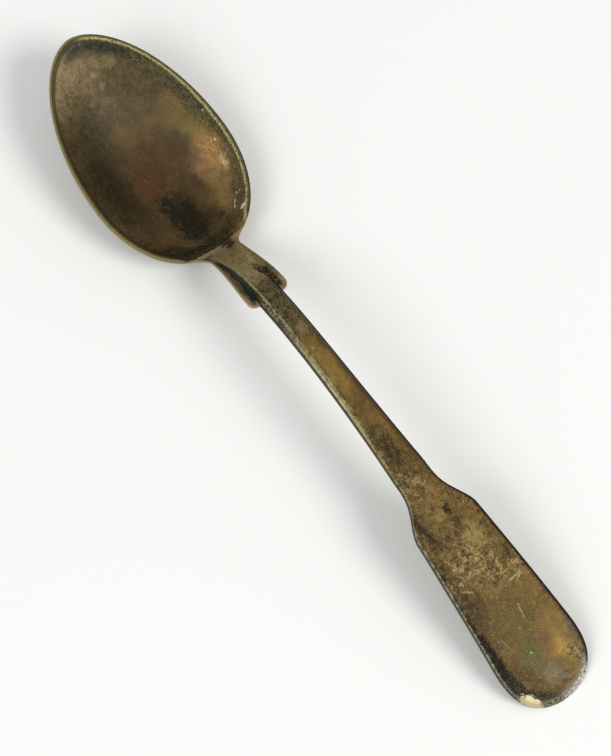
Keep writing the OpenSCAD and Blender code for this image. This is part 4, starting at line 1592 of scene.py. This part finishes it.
# %% The shoulders' and the heel's metal
def shoulder_metal():
    material, start = new_material("shoulder_plate")
    on = surface(start)
    look = mixed(on.cloud, tone(124, 110, 80), tone(146, 131, 100))
    look = mixed(on.left * 0.6, look, tone(112, 92, 64))
    look = mixed(fade(on.x, 54, 48) * (1 - on.left), look, tone(178, 162, 122))
    look = speckled(look, on.rough, 0.6)
    pits = ear_pits(on, (56.2, 2.7), (4.8, 1.6))
    look = mixed(pits * 0.95, look, SOOT)
    wider = fade(on.x, 53, 57) * 0.8
    groove = fade(on.past_edge - wider + on.ragged * 0.5, 0.35, 0.0) * on.left
    look = mixed(groove * 0.95, look, shaded(BLUE_GREEN_BLACK, 0.4 + on.rough * 0.8))
    # The ears and the left outer edge are rubbed coppery, and painted highlights make them
    # lighter.
    ear = fade(on.inside + on.ragged * 0.8, 1.1, 0.4) * fade(on.x, 55, 57.5)
    look = mixed(ear * 0.85, look, tone(204, 172, 144))
    edge = fade(on.inside + on.ragged * 0.2, 0.4, 0.15) * on.left
    look = mixed(edge * 0.8, look, tone(204, 186, 150))
    look = mixed(on.front, worn_back(on), look)
    height = on.rough * 0.04 - pits * 0.08
    finish_metal(material, look, height, clamped(0.44 + on.rough * 0.16))


def heel_plate():
    material, start = new_material("back_plate")
    on = surface(start)
    finish_metal(material, worn_back(on), on.rough * 0.04, clamped(0.4 + on.rough * 0.16))


shoulder_metal()
heel_plate()

# %% [markdown]
# ## Putting the pieces in their places
# Every mesh already holds its place in the frame, so its object stays at the origin. The
# pieces replace the CAD's plainer solids and ride on the one body that the spoon is.


# %% Pieces
SHARP_ANGLE = 50  # degrees between two faces, from which their edge stays sharp


def add_piece(mesh, slot_name, *nodes):
    """One visible piece: smooth, except where two faces meet at a real edge."""
    mesh.materials.clear()
    mesh.materials.append(finishes[slot_name])
    mesh.shade_smooth()
    mesh.set_sharp_from_angle(angle=math.radians(SHARP_ANGLE))
    piece = bpy.data.objects.new(mesh.name, mesh)
    bpy.context.scene.collection.objects.link(piece)
    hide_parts(*nodes)
    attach(piece, "root")
    print(piece.name, "wears", slot_name)


bowl_values = {**bowl_sizes, "Finish": finishes["bowl_plate"]}
add_piece(measured(run_tree("bowl_metal", bowl_nodes, bowl_values)), "bowl_plate", "bowl")
add_piece(stem_metal, "stem_plate", "stem")
add_piece(blade_metal, "blade_plate", "handle_blade")
add_piece(heel_metal, "back_plate", "heel")
for side_name, mesh in shoulder_metals.items():
    add_piece(mesh, "shoulder_plate", side_name + "_shoulder")

# %% [markdown]
# ## The table and the light
# The spoon lies on white paper in a bright room. A picture of a room could light it, but
# soft lamps are easier to place. A pale sky gives an even light. One large lamp at the
# right of the photograph stands for the window, and a weaker one at its lower left for a
# second window, so faint shadows fall on both sides.


# %% The table
def make_table(size):
    """A square of white paper that reaches this far from the middle, in metres."""
    mesh = bpy.data.meshes.new("table")
    corners = [(-size, -size, 0), (size, -size, 0), (size, size, 0), (-size, size, 0)]
    mesh.from_pydata(corners, [], [(0, 1, 2, 3)])
    table = bpy.data.objects.new("table", mesh)
    paper = bpy.data.materials.new("white_paper")
    paper.use_nodes = True
    shader = paper.node_tree.nodes["Principled BSDF"]
    shader.inputs["Base Color"].default_value = (0.88, 0.89, 0.88, 1)
    shader.inputs["Roughness"].default_value = 0.9
    shader.inputs["Specular IOR Level"].default_value = 0.1
    mesh.materials.append(paper)
    bpy.context.scene.collection.objects.link(table)
    print("the table is", 2 * size, "m wide")


make_table(2.0)

# %% Sky and lamps
world = bpy.data.worlds.new("pale_room")
world.use_nodes = True
sky = world.node_tree.nodes["Background"]
sky.inputs["Color"].default_value = (1.0, 0.99, 0.97, 1)
sky.inputs["Strength"].default_value = 0.5
bpy.context.scene.world = world


def add_lamp(name, towards, distance, size, watts, colour):
    """A round lamp in this direction, so many metres away, which faces the spoon."""
    lamp = bpy.data.lights.new(name, "AREA")
    lamp.shape = "DISK"
    lamp.size = size
    lamp.energy = watts
    lamp.color = colour
    holder = bpy.data.objects.new(name, lamp)
    place = Vector(towards).normalized()
    holder.location = place * distance
    holder.rotation_mode = "QUATERNION"
    holder.rotation_quaternion = (-place).to_track_quat("-Z", "Y")
    bpy.context.scene.collection.objects.link(holder)
    print(name, "at", [round(v, 2) for v in holder.location], "with", watts, "W")


add_lamp("window", (0.72, 0.42, 0.85), 1.6, 0.8, 13.5, (1.0, 0.99, 0.97))
add_lamp("far_window", (0.05, -0.85, 0.95), 1.6, 0.9, 8.5, (0.98, 0.99, 1.0))
bpy.context.scene.view_settings.view_transform = "Standard"

# %% [markdown]
